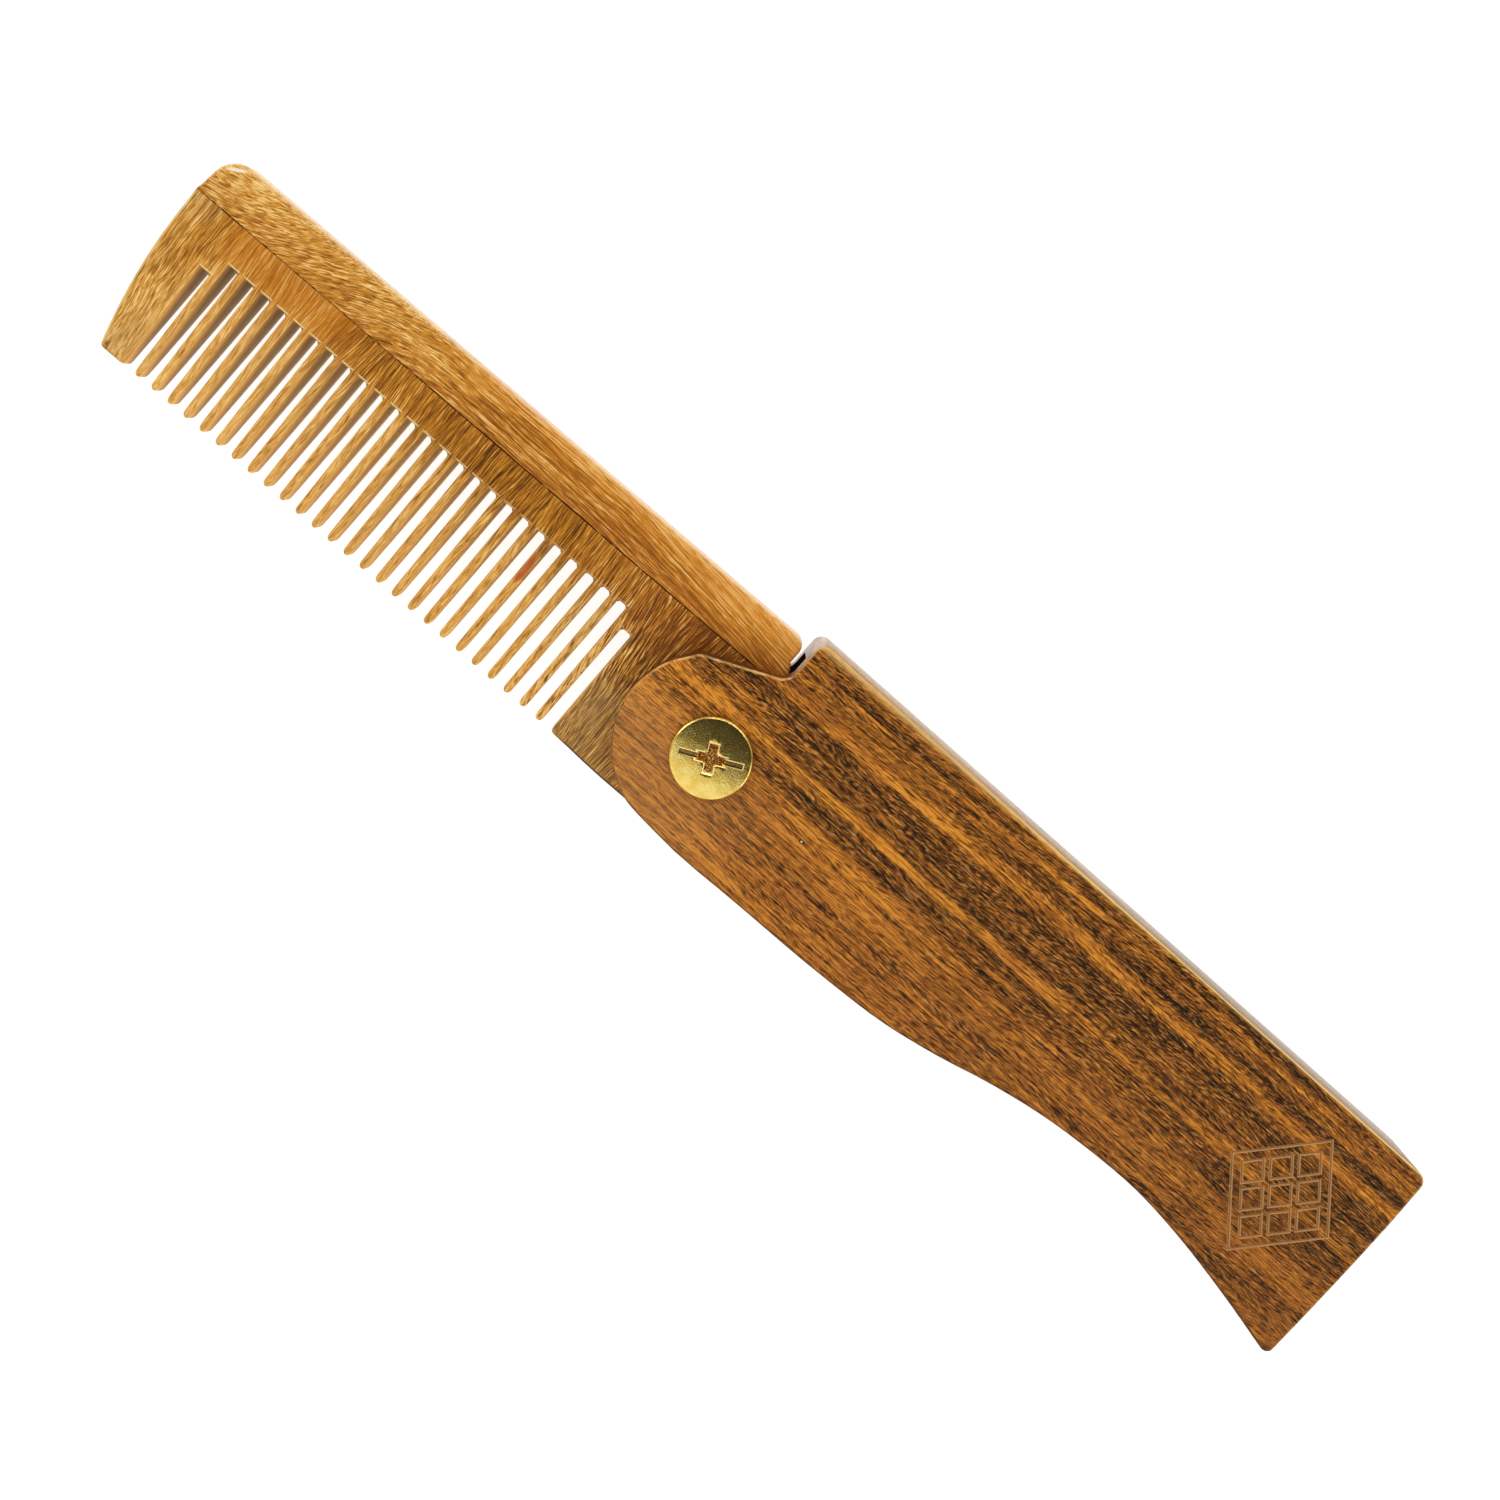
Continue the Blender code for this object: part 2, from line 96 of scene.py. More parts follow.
def selectEdges(piece, rule):
    # rule is given the two ends of an edge
    bpy.ops.object.mode_set(mode="EDIT")
    bpy.ops.mesh.select_mode(type="EDGE")
    bpy.ops.mesh.select_all(action="DESELECT")
    bpy.ops.object.mode_set(mode="OBJECT")
    for edge in piece.data.edges:
        edge.select = rule(*(piece.data.vertices[i].co for i in edge.vertices))
    bpy.ops.object.mode_set(mode="EDIT")


def edgesWhere(piece, rule):
    # the edges, as pairs of places, whose two faces' normals fit the rule
    normals = {}
    for face in piece.data.polygons:
        for key in face.edge_keys:
            normals.setdefault(key, []).append(face.normal.copy())
    vertices = piece.data.vertices
    chosen = [key for key, pair in normals.items() if len(pair) == 2 and rule(*pair)]
    return {frozenset((tuple(vertices[a].co), tuple(vertices[b].co))) for a, b in chosen}


def bevelSelected(offset, segments):
    bpy.ops.mesh.bevel(offset=offset, segments=segments, profile=0.5)
    bpy.ops.object.mode_set(mode="OBJECT")


def smoothOver(piece, angle):
    # smooth shading that keeps the flat faces flat beside their rounded edges
    makeActive(piece)
    bpy.ops.object.shade_smooth_by_angle(angle=math.radians(angle))
    modifier = piece.modifiers.new("even normals", "WEIGHTED_NORMAL")
    modifier.keep_sharp = True
    modifier.weight = helperSpec["flatWeight"]
    applyModifiers(piece)


def copyNode(nodeName, pieceName):
    # the node's triangles are loose, so the copy is merged into one skin
    piece = bpy.data.objects.new(pieceName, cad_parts[nodeName].data.copy())
    bpy.context.scene.collection.objects.link(piece)
    piece.data.materials.clear()
    makeActive(piece)
    bpy.ops.mesh.customdata_custom_splitnormals_clear()
    bpy.ops.object.mode_set(mode="EDIT")
    bpy.ops.mesh.select_all(action="SELECT")
    bpy.ops.mesh.remove_doubles(threshold=helperSpec["mergeWithin"])
    bpy.ops.object.mode_set(mode="OBJECT")
    return piece


def rise(value, start, end):
    # 0 at start, 1 at end, straight between and held beyond them
    return min(max((value - start) / (end - start), 0.0), 1.0)


def markSurface(piece, marks):
    # each mark has a rule that gives 0 to 1 from a corner's place in millimetres, its shading normal and
    # the normal of its flat face
    mesh = piece.data
    places = [vertex.co / mm for vertex in mesh.vertices]
    corners = []
    for face in mesh.polygons:
        facing = face.normal.copy()
        for i in face.loop_indices:
            corners.append((places[mesh.loops[i].vertex_index], mesh.corner_normals[i].vector.copy(), facing))
    for name, rule in marks.items():
        attribute = mesh.attributes.new(name, "FLOAT", "CORNER")
        attribute.data.foreach_set("value", [float(rule(*corner)) for corner in corners])


def onRounding(facing):
    # the upper facet of a rounded edge round a broad face
    return 0.7 < abs(facing.z) < 0.985


# Shader helpers
class Wire:
    def __init__(self, nodes, socket):
        self.nodes = nodes
        self.socket = socket

    def maths(self, operation, *values):
        return self.nodes.node("Math", {"operation": operation}, dict(enumerate(values)))

    def __add__(self, other):
        return self.maths("ADD", self, other)

    def __radd__(self, other):
        return self.maths("ADD", other, self)

    def __sub__(self, other):
        return self.maths("SUBTRACT", self, other)

    def __rsub__(self, other):
        return self.maths("SUBTRACT", other, self)

    def __mul__(self, other):
        return self.maths("MULTIPLY", self, other)

    def __rmul__(self, other):
        return self.maths("MULTIPLY", other, self)

    def size(self):
        return self.maths("ABSOLUTE", self)

    def atLeast(self, low):
        return self.maths("MAXIMUM", self, low)

    def fade(self, start, end):
        # 0 at start, 1 at end, eased and held beyond them
        ends = {"Value": self, "From Min": start, "From Max": end, "To Min": 0.0, "To Max": 1.0}
        return self.nodes.node("MapRange", {"interpolation_type": "SMOOTHSTEP"}, ends)

    def output(self, name):
        return Wire(self.nodes, self.socket.node.outputs[name])


class Nodes:
    def __init__(self, tree):
        self.tree = tree

    def node(self, kind, settings=None, inputs=None, output=0):
        made = self.tree.nodes.new("ShaderNode" + kind)
        for name, value in (settings or {}).items():
            if name == "stops":
                while len(made.color_ramp.elements) < len(value):
                    made.color_ramp.elements.new(1.0)
                for element, (place, colour) in zip(made.color_ramp.elements, value):
                    element.position = place
                    element.color = colour
            else:
                setattr(made, name, value)
        for name, value in (inputs or {}).items():
            if isinstance(value, Wire):
                self.tree.links.new(value.socket, made.inputs[name])
            else:
                made.inputs[name].default_value = value
        return Wire(self, made.outputs[output])

    def vector(self, x, y, z):
        return self.node("CombineXYZ", inputs={0: x, 1: y, 2: z})

    def noise(self, x, y, z, detail=2.0, roughness=0.5):
        inputs = {"Vector": self.vector(x, y, z), "Scale": 1.0, "Detail": detail, "Roughness": roughness}
        return self.node("TexNoise", inputs=inputs)

    def grain(self, along, across, deep, length, width, detail=2.0, roughness=0.6):
        # noise drawn out along the fibres, about -0.5 to 0.5; length and width are in millimetres
        place = (along * (1 / length), across * (1 / width), deep * (1 / width))
        return (self.noise(*place, detail, roughness) - 0.5) * 2.0

    def hairs(self, along, across, deep, length, width):
        # grain with crisp edges, -0.5 to 0.5
        return self.grain(along, across, deep, length, width, 1.0).fade(-0.16, 0.16) - 0.5

    def lines(self, along, across, deep, length, width, thin):
        # thin winding lines that follow the fibres
        return 1 - self.grain(along, across, deep, length, width, 1.0).size().fade(0.0, thin)

    def leaned(self, along, across, lean):
        # the same directions turned up by lean degrees
        cosine, sine = math.cos(math.radians(lean)), math.sin(math.radians(lean))
        return along * cosine + across * sine, across * cosine - along * sine

    def dashes(self, along, across, deep, length, width, share, fullness=0.5):
        # short dashes along the fibres; share of the cells hold one, each of its own size
        place = self.vector(along * (1 / length), across * (1 / width), deep * (1 / width))
        cells = self.node("TexVoronoi", inputs={"Vector": place, "Scale": 1.0})
        own = self.node("SeparateXYZ", inputs={0: cells.output("Color")})
        reach = own.fade(1 - share, 1.0) * fullness
        return (reach - cells).fade(0.0, 0.1)

    def ramp(self, factor, stops, interpolation="LINEAR"):
        made = self.node("ValToRGB", {"stops": stops}, {0: factor})
        made.socket.node.color_ramp.interpolation = interpolation
        return made

    def tones(self, factor, rows):
        # a ramp of plain values; rows are (place in millimetres, tone)
        low, high = rows[0][0], rows[-1][0]
        stops = [((place - low) / (high - low), (tone, tone, tone, 1.0)) for place, tone in rows]
        return self.ramp((factor - low) * (1 / (high - low)), stops, "EASE")

    def mix(self, factor, first, second):
        inputs = {"Factor": factor, 6: first, 7: second}
        return self.node("Mix", {"data_type": "RGBA"}, inputs, output=2)

    def mark(self, name):
        return self.node("Attribute", {"attribute_name": name}, output="Fac")


class Finish(Nodes):
    def __init__(self, name):
        self.material = bpy.data.materials.new(name)
        self.material.use_nodes = True
        super().__init__(self.material.node_tree)
        self.shader = self.tree.nodes["Principled BSDF"]

    def place(self):
        # object coordinates in millimetres
        coordinates = self.node("TexCoord", output="Object")
        scaled = self.node("VectorMath", {"operation": "SCALE"}, {0: coordinates, "Scale": 1 / mm})
        split = self.node("SeparateXYZ", inputs={0: scaled})
        return split, split.output("Y"), split.output("Z")

    def near(self, place, centre, sizes):
        # 1 at a spot on the broad face, fading out at its half sizes
        x, y = place
        across = (x - centre[0]) * (1 / sizes[0])
        up = (y - centre[1]) * (1 / sizes[1])
        return 1 - (across * across + up * up).fade(0.3, 1.0)

    def patched(self, tone, place, rows):
        # rows are a spot's place, its half sizes and how much lighter it is
        for patchX, patchY, halfX, halfY, lift in rows:
            tone = tone + self.near(place, (patchX, patchY), (halfX, halfY)) * lift
        return tone

    def bump(self, height, distance, strength=1.0):
        inputs = {"Height": height, "Distance": distance, "Strength": strength}
        self.feed("Normal", self.node("Bump", inputs=inputs))

    def feed(self, name, value):
        if isinstance(value, Wire):
            self.tree.links.new(value.socket, self.shader.inputs[name])
        else:
            self.shader.inputs[name].default_value = value


def paint(red, green, blue):
    # a colour as a screen shows it, 0 to 255, turned into the renderer's linear values
    linear = [(c / 255 / 12.92) if c < 11 else ((c / 255 + 0.055) / 1.055) ** 2.4 for c in (red, green, blue)]
    return (*linear, 1.0)


# Handle's wood
handleWood = {
    # tone of the plank's stripes on the front face: Y in mm and 0 for the darkest to 1 for the brightest
    "lowerStripes": (
        (-12.5, 0.58), (-10.7, 0.66), (-9.8, 0.80), (-9.1, 0.50), (-8.3, 0.66), (-7.2, 0.62), (-6.0, 0.52),
        (-5.2, 0.64), (-4.5, 0.38), (-3.7, 0.60), (-2.4, 0.64), (-1.2, 0.72), (-0.7, 0.76), (-0.2, 0.62),
        (0.3, 0.78), (0.9, 0.92), (1.6, 0.72), (2.4, 0.52), (3.6, 0.34), (4.1, 0.46), (4.6, 0.30),
        (5.0, 0.60),
    ),
    "upperStripes": (
        (4.6, 0.30), (5.2, 0.86), (5.8, 0.96), (6.3, 0.54), (7.2, 0.34), (8.1, 0.52), (8.9, 0.34),
        (10.6, 0.32), (11.2, 0.44), (11.7, 0.80), (12.3, 0.86), (12.9, 0.66), (13.8, 0.62), (14.4, 0.64),
        (15.1, 0.50), (15.8, 0.74), (16.2, 0.60), (16.6, 0.22), (17.2, 0.52), (17.8, 0.60), (18.5, 0.68),
        (19.3, 0.76),
    ),
    # lighter and darker patches: place, half sizes in mm, and how much lighter
    "patches": (
        (6.5, 0.2, 7.0, 1.6, -0.22), (0.0, 7.0, 7.0, 2.0, 0.12), (29.0, 0.4, 9.0, 1.6, -0.12),
        (40.0, 4.0, 9.0, 1.6, 0.16), (40.0, 17.5, 9.0, 1.6, 0.1), (60.0, -4.5, 14.0, 2.5, 0.1),
    ),
    "meeting": 4.8,
    "drift": 0.11,
    "driftFrom": 6.0,
    "depthLean": 0.12,
    "frontZ": 11.1,
    "colours": (
        (0.0, paint(42, 26, 8)), (0.25, paint(96, 58, 22)), (0.5, paint(145, 87, 32)),
        (0.75, paint(188, 114, 34)), (1.0, paint(230, 152, 54)),
    ),
    "redder": paint(160, 90, 48),
    "glints": paint(184, 148, 96),
    "tan": paint(198, 142, 86),
    "pore": paint(34, 23, 5),
    "speck": paint(236, 214, 180),
    "pinhole": (14.6, -0.4),
    "pinholeSize": (0.5, 0.32),
    # half sizes of the painted glint in the middle of the pinhole
    "pinholeGlint": (0.17, 0.14),
    # pale line on edge facets that face +Y: wear with a painted highlight
    "rim": paint(246, 194, 118),
    # golden rounded back edge: wear with a painted highlight
    "wornBack": paint(226, 162, 78),
    # pale back wall seen edge-on: painted sheen, turning golden towards the front face
    "backWall": paint(222, 206, 170),
    "backWallFront": paint(184, 140, 72),
    # bright cream line along the rounded back edge: painted highlight
    "backLine": paint(255, 226, 146),
    # dark cheek wall beside the notch slope: painted shade
    "cheekWall": paint(96, 50, 15),
    # pale grey notch wall seen edge-on: painted sheen
    "notchWall": paint(188, 174, 168),
    # dark line on edges that face -Y: painted shade
    "lowEdge": paint(44, 26, 14),
    # near black inside the slot: painted shade
    "slotInside": paint(34, 22, 15),
    # lighter groove walls are a painted highlight and darker groove floors a painted shade
    "groove": paint(232, 180, 118),
    "grooveFloorShade": paint(120, 76, 40),
}


def makeHandleWood():
    spec = handleWood
    wood = Finish("streaked dark wood")
    x, y, z = wood.place()
    wander = wood.grain(x, y, z, 45.0, 8.0)
    ripple = wood.grain(x, y, z, 4.5, 1.6)
    fray = wood.grain(x, y, z, 12.0, 0.4)
    drift = (y - spec["driftFrom"]).atLeast(0.0) * x.fade(5.0, 65.0) * spec["drift"]
    level = y - drift + (z - spec["frontZ"]) * spec["depthLean"] + wander * 0.5 + ripple * 0.08
    frayed = level + fray * 0.5
    lower = wood.tones(frayed, spec["lowerStripes"])
    upper = wood.tones(frayed, spec["upperStripes"])
    choice = frayed.fade(spec["meeting"] - 0.1, spec["meeting"] + 0.1)
    stripes = lower * (1 - choice) + upper * choice
    fibres = wood.grain(x, level, z, 18.0, 0.45, 3.0)
    fine = wood.grain(x, level, z, 1.2, 0.13, 2.0, 0.7)
    hairs = wood.hairs(x, level, z, 16.0, 0.15)
    winding = wood.lines(x, level, z, 13.0, 1.3, 0.12)
    farther = x.fade(5.0, 80.0)
    beyondHead = x.fade(16.0, 48.0)
    onHead = 1 - x.fade(-9.0, 6.0)
    low = 1 - level.fade(1.6, 2.6)
    stripes = 0.5 + (stripes - 0.5) * (1 - 0.25 * farther) - farther * 0.02
    stripes = stripes + low * (0.1 - beyondHead * (0.1 + level.fade(-0.3, 0.6) * 0.16))
    middle = (1 - (level - 5.6).size().fade(0.3, 0.9)) * 0.14
    stripes = stripes - beyondHead * (middle + (1 - (level - 13.7).size().fade(0.2, 0.9)) * 0.34)
    brightLine = (1 - x.fade(-6.0, 18.0)) * (1 - (level - 4.0).size().fade(0.3, 1.1)) * 0.32
    stripes = wood.patched(stripes + onHead * 0.1 + brightLine, (x, y), spec["patches"])
    darkness = (1 - stripes.fade(0.35, 0.75)) * (1 - 0.25 * farther)

    # feathered marks: crisp flecks and short dark pores that lean one way in most bands and the other in some
    turn = wood.noise(x * 0.03, y * 0.3, z * 0.1, 1.0).fade(0.50, 0.56)
    bent = (x, level + ripple * 0.3)
    rising = wood.leaned(*bent, 9.0)
    falling = wood.leaned(*bent, -8.0)
    flecks = wood.hairs(*rising, z, 0.8, 0.13) * (1 - turn) + wood.hairs(*falling, z, 0.8, 0.13) * turn
    pores = wood.dashes(*rising, z, 1.5, 0.15, 0.95, 0.6) * (1 - turn)
    pores = pores + wood.dashes(*falling, z, 1.4, 0.15, 0.95, 0.6) * turn
    splits = wood.dashes(x, level, z, 7.0, 0.5, 0.3, 0.3)
    tone = stripes + darkness * 0.06 + fibres * (0.42 - 0.1 * darkness) + fine * 0.85 + hairs * 0.36
    tone = tone + flecks * (0.14 + 0.26 * darkness) - pores * 0.28 - splits * 0.4 - winding * 0.2
    tone = stripes + (tone - stripes) * (1 - 0.2 * x.fade(62.0, 90.0))
    colour = wood.ramp(tone, spec["colours"])
    ruddy = wood.noise(x * 0.08, y * 0.35, z * 0.2, 2.0).fade(0.5, 0.75)
    redness = (1 - y.fade(-4.0, 6.0)) * 0.2 + ruddy * 0.25
    colour = wood.mix(redness * tone.fade(0.2, 0.6), colour, spec["redder"])
    dark = (0.5 - flecks) * darkness * 0.34 + pores * (0.36 + 0.15 * darkness) + splits * 0.6
    colour = wood.mix(dark, colour, spec["pore"])
    colour = wood.mix(flecks.fade(0.2, 0.5) * fine.fade(0.0, 0.35) * darkness * 0.75, colour, spec["glints"])
    tanned = (1 - x.fade(-4.0, 16.0)) * (1 - y.fade(-3.0, 5.0)) * 0.3
    colour = wood.mix(tanned, colour, spec["tan"])
    specks = wood.dashes(x, y, z, 2.2, 2.2, 0.07, 0.12)
    colour = wood.mix(specks * 0.7, colour, spec["speck"])
    pinhole = wood.near((x, y), spec["pinhole"], spec["pinholeSize"])
    colour = wood.mix(pinhole * 0.8, colour, spec["pore"])
    # painted glint in the middle of the pinhole
    pinholeGlint = wood.near((x, y), spec["pinhole"], spec["pinholeGlint"]) * z.fade(10.6, 11.0)
    colour = wood.mix(pinholeGlint, colour, spec["speck"])

    # wear, painted highlights, painted sheen and painted shade: each mark is painted on the mesh where its
    # edge or wall is
    patchy = wood.grain(x, y, z, 1.2, 1.2).fade(-0.2, 0.2)
    rubbed = 0.3 + 0.7 * patchy
    # painted sheen on the back wall: pale towards the rear and golden near the front face
    wall = wood.mix(z.fade(3.0, 10.0), spec["backWall"], spec["backWallFront"])
    colour = wood.mix(wood.mark("backWall") * (0.2 + 0.35 * tone.fade(0.2, 0.8)), colour, wall)
    # painted shade on the cheek's side wall
    colour = wood.mix(wood.mark("cheekWall") * 0.8, colour, spec["cheekWall"])
    # painted sheen on the notch wall
    colour = wood.mix(wood.mark("notchWall") * 0.35, colour, spec["notchWall"])
    # golden rounded back edge: patchy wear with a painted highlight
    colour = wood.mix(wood.mark("wornBack") * (0.7 + 0.3 * patchy) * 0.55, colour, spec["wornBack"])
    # painted highlight line along the rounded back edge
    colour = wood.mix(wood.mark("backLine"), colour, spec["backLine"])
    # pale edge line: patchy wear with a painted highlight on the edge facets that face +Y
    colour = wood.mix(wood.mark("rim") * rubbed * 0.8, colour, spec["rim"])
    # painted shade on edge facets that face -Y
    colour = wood.mix(wood.mark("lowEdge") * 0.6, colour, spec["lowEdge"])
    carved = wood.mark("carved")
    # painted highlight on the groove walls and painted shade on the groove floors
    colour = wood.mix(carved.fade(0.0, 0.3) * 0.75, colour, spec["groove"])
    colour = wood.mix(carved.fade(0.6, 1.0) * 0.7, colour, spec["grooveFloorShade"])
    # painted shade on the slot's inner faces
    colour = wood.mix(wood.mark("slotInside") * 0.92, colour, spec["slotInside"])
    wood.feed("Base Color", colour)
    sheen = wood.mark("backWall") * (0.75 - 0.45 * z.fade(3.0, 10.0)) + wood.mark("notchWall") * 0.6
    wood.feed("Coat Weight", sheen)
    wood.feed("Coat Roughness", 0.25)
    matt = wood.mark("cheekWall") * 0.5 + wood.mark("backWall") * 0.4
    wood.feed("Roughness", 0.40 - 0.08 * stripes + pores * 0.2 + matt)
    wood.feed("Specular IOR Level", 0.1)
    wood.bump(fibres * 0.3 + fine * 0.4 - pores * 0.7 - pinhole, 0.05 * mm, 0.7)
    return wood.material


# Comb's sizes, which its finishes read too
combSpec = {
    "turn": math.radians(1.0),
    "glueY": 11.17 * mm,
    "glueHalf": 0.07 * mm,
    "glueFrom": -90.12 * mm,
    "glueTo": 0.6 * mm,
    "glueSunk": 0.05 * mm,
    "glueRounding": 0.03 * mm,
    "teethFrom": -84.6,
    "teethTo": -15.4,
    "gapTop": 8.0,
    "rootsFrom": 0.0,
    "rootRounding": 0.3 * mm,
    "rootAngle": 1.0,
    "uprightWithin": 0.05 * mm,
    "uprightOver": 1.0 * mm,
    "smoothAngle": 40,
}


# Spine's wood: the fibres run along the back, and rise towards the free end
spineWood = {
    "colours": (
        (0.0, paint(92, 50, 14)), (0.25, paint(148, 92, 28)), (0.5, paint(196, 130, 44)),
        (0.75, paint(226, 160, 66)), (1.0, paint(255, 216, 136)),
    ),
    "redder": paint(176, 92, 32),
    # pale golden line on back edge facets that face +Y and -X: painted highlight
    "rim": paint(248, 204, 120),
    "glint": (-88.1, 14.3),
    "glintLean": 31.0,
    "glintSize": (1.6, 0.28),
    "glintColour": paint(255, 240, 204),
    "sweptEnds": (-94.0, -52.0),
    "swept": 14.0,
    "dipFrom": -40.0,
    "dip": 0.0016,
    "brownFrom": 206.6,
    "brownSlope": 0.058,
    # lighter and darker patches: place, half sizes in mm, and how much lighter
    "patches": (
        (-48.0, 15.6, 10.0, 2.6, -0.08), (-80.0, 12.1, 6.0, 1.6, 0.14), (-70.0, 15.2, 7.0, 2.2, -0.07),
        (-39.0, 14.3, 8.0, 0.9, -0.2), (-29.0, 14.5, 8.0, 0.8, -0.24), (-20.0, 14.0, 7.0, 1.2, -0.2),
        (-10.0, 15.2, 6.0, 2.4, -0.06),
    ),
    "sunny": paint(232, 148, 46),
}


def makeSpineWood():
    spec = spineWood
    wood = Finish("light spine wood")
    x, y, z = wood.place()
    wander = wood.grain(x, y, z, 16.0, 5.0)
    ripple = wood.grain(x, y, z, 2.2, 1.3)
    swept = x.fade(*spec["sweptEnds"]) * spec["swept"]
    dipped = (x - spec["dipFrom"]).atLeast(0.0)
    straight = x.fade(-66.0, -40.0)
    leaning = dipped * dipped * spec["dip"] - swept
    level = y + leaning + wander * 0.8 + ripple * (0.2 - 0.14 * straight)
    fibres = wood.grain(x, level, z, 9.0, 0.6, 3.0)
    fine = wood.grain(x, level, z, 1.4, 0.15, 2.0, 0.7)
    short = wood.hairs(x, level, z, 1.1, 0.15) * (1 - straight)
    long = wood.hairs(x, level, z, 7.0, 0.16) * straight
    winding = wood.lines(x, level, z, 9.0, 0.9, 0.14)
    flecks = wood.dashes(x, level, z, 1.8, 0.17, 0.9, 0.6)
    pores = wood.dashes(x + 3.1, level + 1.7, z, 1.8, 0.17, 0.9, 0.6)
    brown = y + (x - spec["brownFrom"]) * spec["brownSlope"] + wander
    brownStreak = brown.fade(-0.9, -0.1) * (1 - brown.fade(0.1, 0.9)) * x.fade(-48.0, -38.0)
    brownStreak = brownStreak * (1 - x.fade(-18.0, -10.0))
    height = y.fade(11.0, 17.0)
    tone = 0.46 + height * (0.24 + 0.2 * x.fade(-42.0, -32.0)) + 0.08 * (1 - x.fade(-62.0, -42.0))
    tone = tone - brownStreak * 0.24
    tone = tone + 0.12 * (1 - x.fade(-89.0, -80.0)) + 0.05 * (1 - height) * (1 - x.fade(-52.0, -44.0))
    tone = tone - x.fade(-46.0, -36.0) * (1 - height) * 0.09 - 0.06 * x.fade(-22.0, -12.0) - winding * 0.14
    tone = wood.patched(tone, (x, level - leaning), spec["patches"])
    tone = tone + fibres * (0.3 + 0.22 * straight) + fine * 0.55 + short * 0.3 + long * 0.54
    tone = tone + flecks * 0.26 - pores * 0.24
    corner = wood.leaned(x - spec["glint"][0], y - spec["glint"][1], spec["glintLean"])
    glint = wood.near(corner, (0.0, 0.0), spec["glintSize"]) * z.fade(7.0, 8.0)
    colour = wood.ramp(tone, spec["colours"])
    redness = (1 - y.fade(11.5, 14.0)) * 0.3 + x.fade(-60.0, -20.0) * 0.42
    colour = wood.mix(redness, colour, wood.mix(0.5, spec["redder"], colour))
    sunny = x.fade(-62.0, -46.0) * (0.06 + height * 0.36) + x.fade(-18.0, -10.0) * 0.1
    colour = wood.mix(sunny, colour, spec["sunny"])
    # painted highlight on the spine's edge facets that face the lights
    colour = wood.mix(wood.mark("rim") * (0.15 + 0.4 * tone.fade(0.2, 0.9)), colour, spec["rim"])
    colour = wood.mix(glint, colour, spec["glintColour"])
    wood.feed("Base Color", colour)
    wood.feed("Coat Weight", wood.mark("rim") * 0.8)
    wood.feed("Coat Roughness", 0.25)
    wood.feed("Roughness", 0.31 - flecks * 0.05 + pores * 0.15)
    wood.feed("Specular IOR Level", 0.12)
    wood.bump(fibres * 0.3 + fine * 0.5 - pores * 0.7, 0.05 * mm, 0.7)
    return wood.material


# Tooth board's wood: the fibres run along the teeth
boardWood = {
    # tone of the board above the gaps, along its length: X in mm and 0 for the darkest to 1 for the brightest
    "streaks": (
        (-91.0, 0.70), (-88.0, 0.68), (-85.0, 0.58), (-81.0, 0.64), (-75.0, 0.62), (-70.0, 0.78),
        (-66.0, 0.48), (-61.0, 0.52), (-55.0, 0.58), (-51.0, 0.47), (-45.0, 0.45), (-40.0, 0.43),
        (-35.0, 0.48), (-30.0, 0.44), (-25.0, 0.52), (-20.0, 0.52), (-16.0, 0.40), (-12.0, 0.32),
        (11.5, 0.30),
    ),
    "colours": (
        (0.0, paint(76, 42, 12)), (0.25, paint(130, 78, 22)), (0.5, paint(178, 112, 30)),
        (0.75, paint(218, 150, 52)), (1.0, paint(252, 212, 132)),
    ),
    "olive": paint(152, 122, 76),
    "redder": paint(170, 92, 34),
    "orange": paint(204, 122, 34),
    "tip": paint(244, 186, 98),
    # pale line at the gap roots, along the teeth and on the free end's edge: painted highlight
    "rim": paint(252, 222, 156),
    # gap walls: paler grey as a painted sheen, and brighter near the front face as a painted highlight
    "gapWall": paint(180, 162, 134),
    "rightWall": paint(222, 196, 148),
    "wallFront": (paint(196, 146, 78), paint(248, 196, 112)),
    "frontZ": 8.6,
    "taperFrom": 6.6,
    "taper": 0.07,
    "heelEnd": -11.25,
    # dark edges that face -Y: painted shade
    "lowEdge": paint(38, 28, 24),
    "stain": paint(178, 60, 18),
    "stainPlace": (-31.2, 1.6),
    "stainSize": (0.6, 2.6),
}


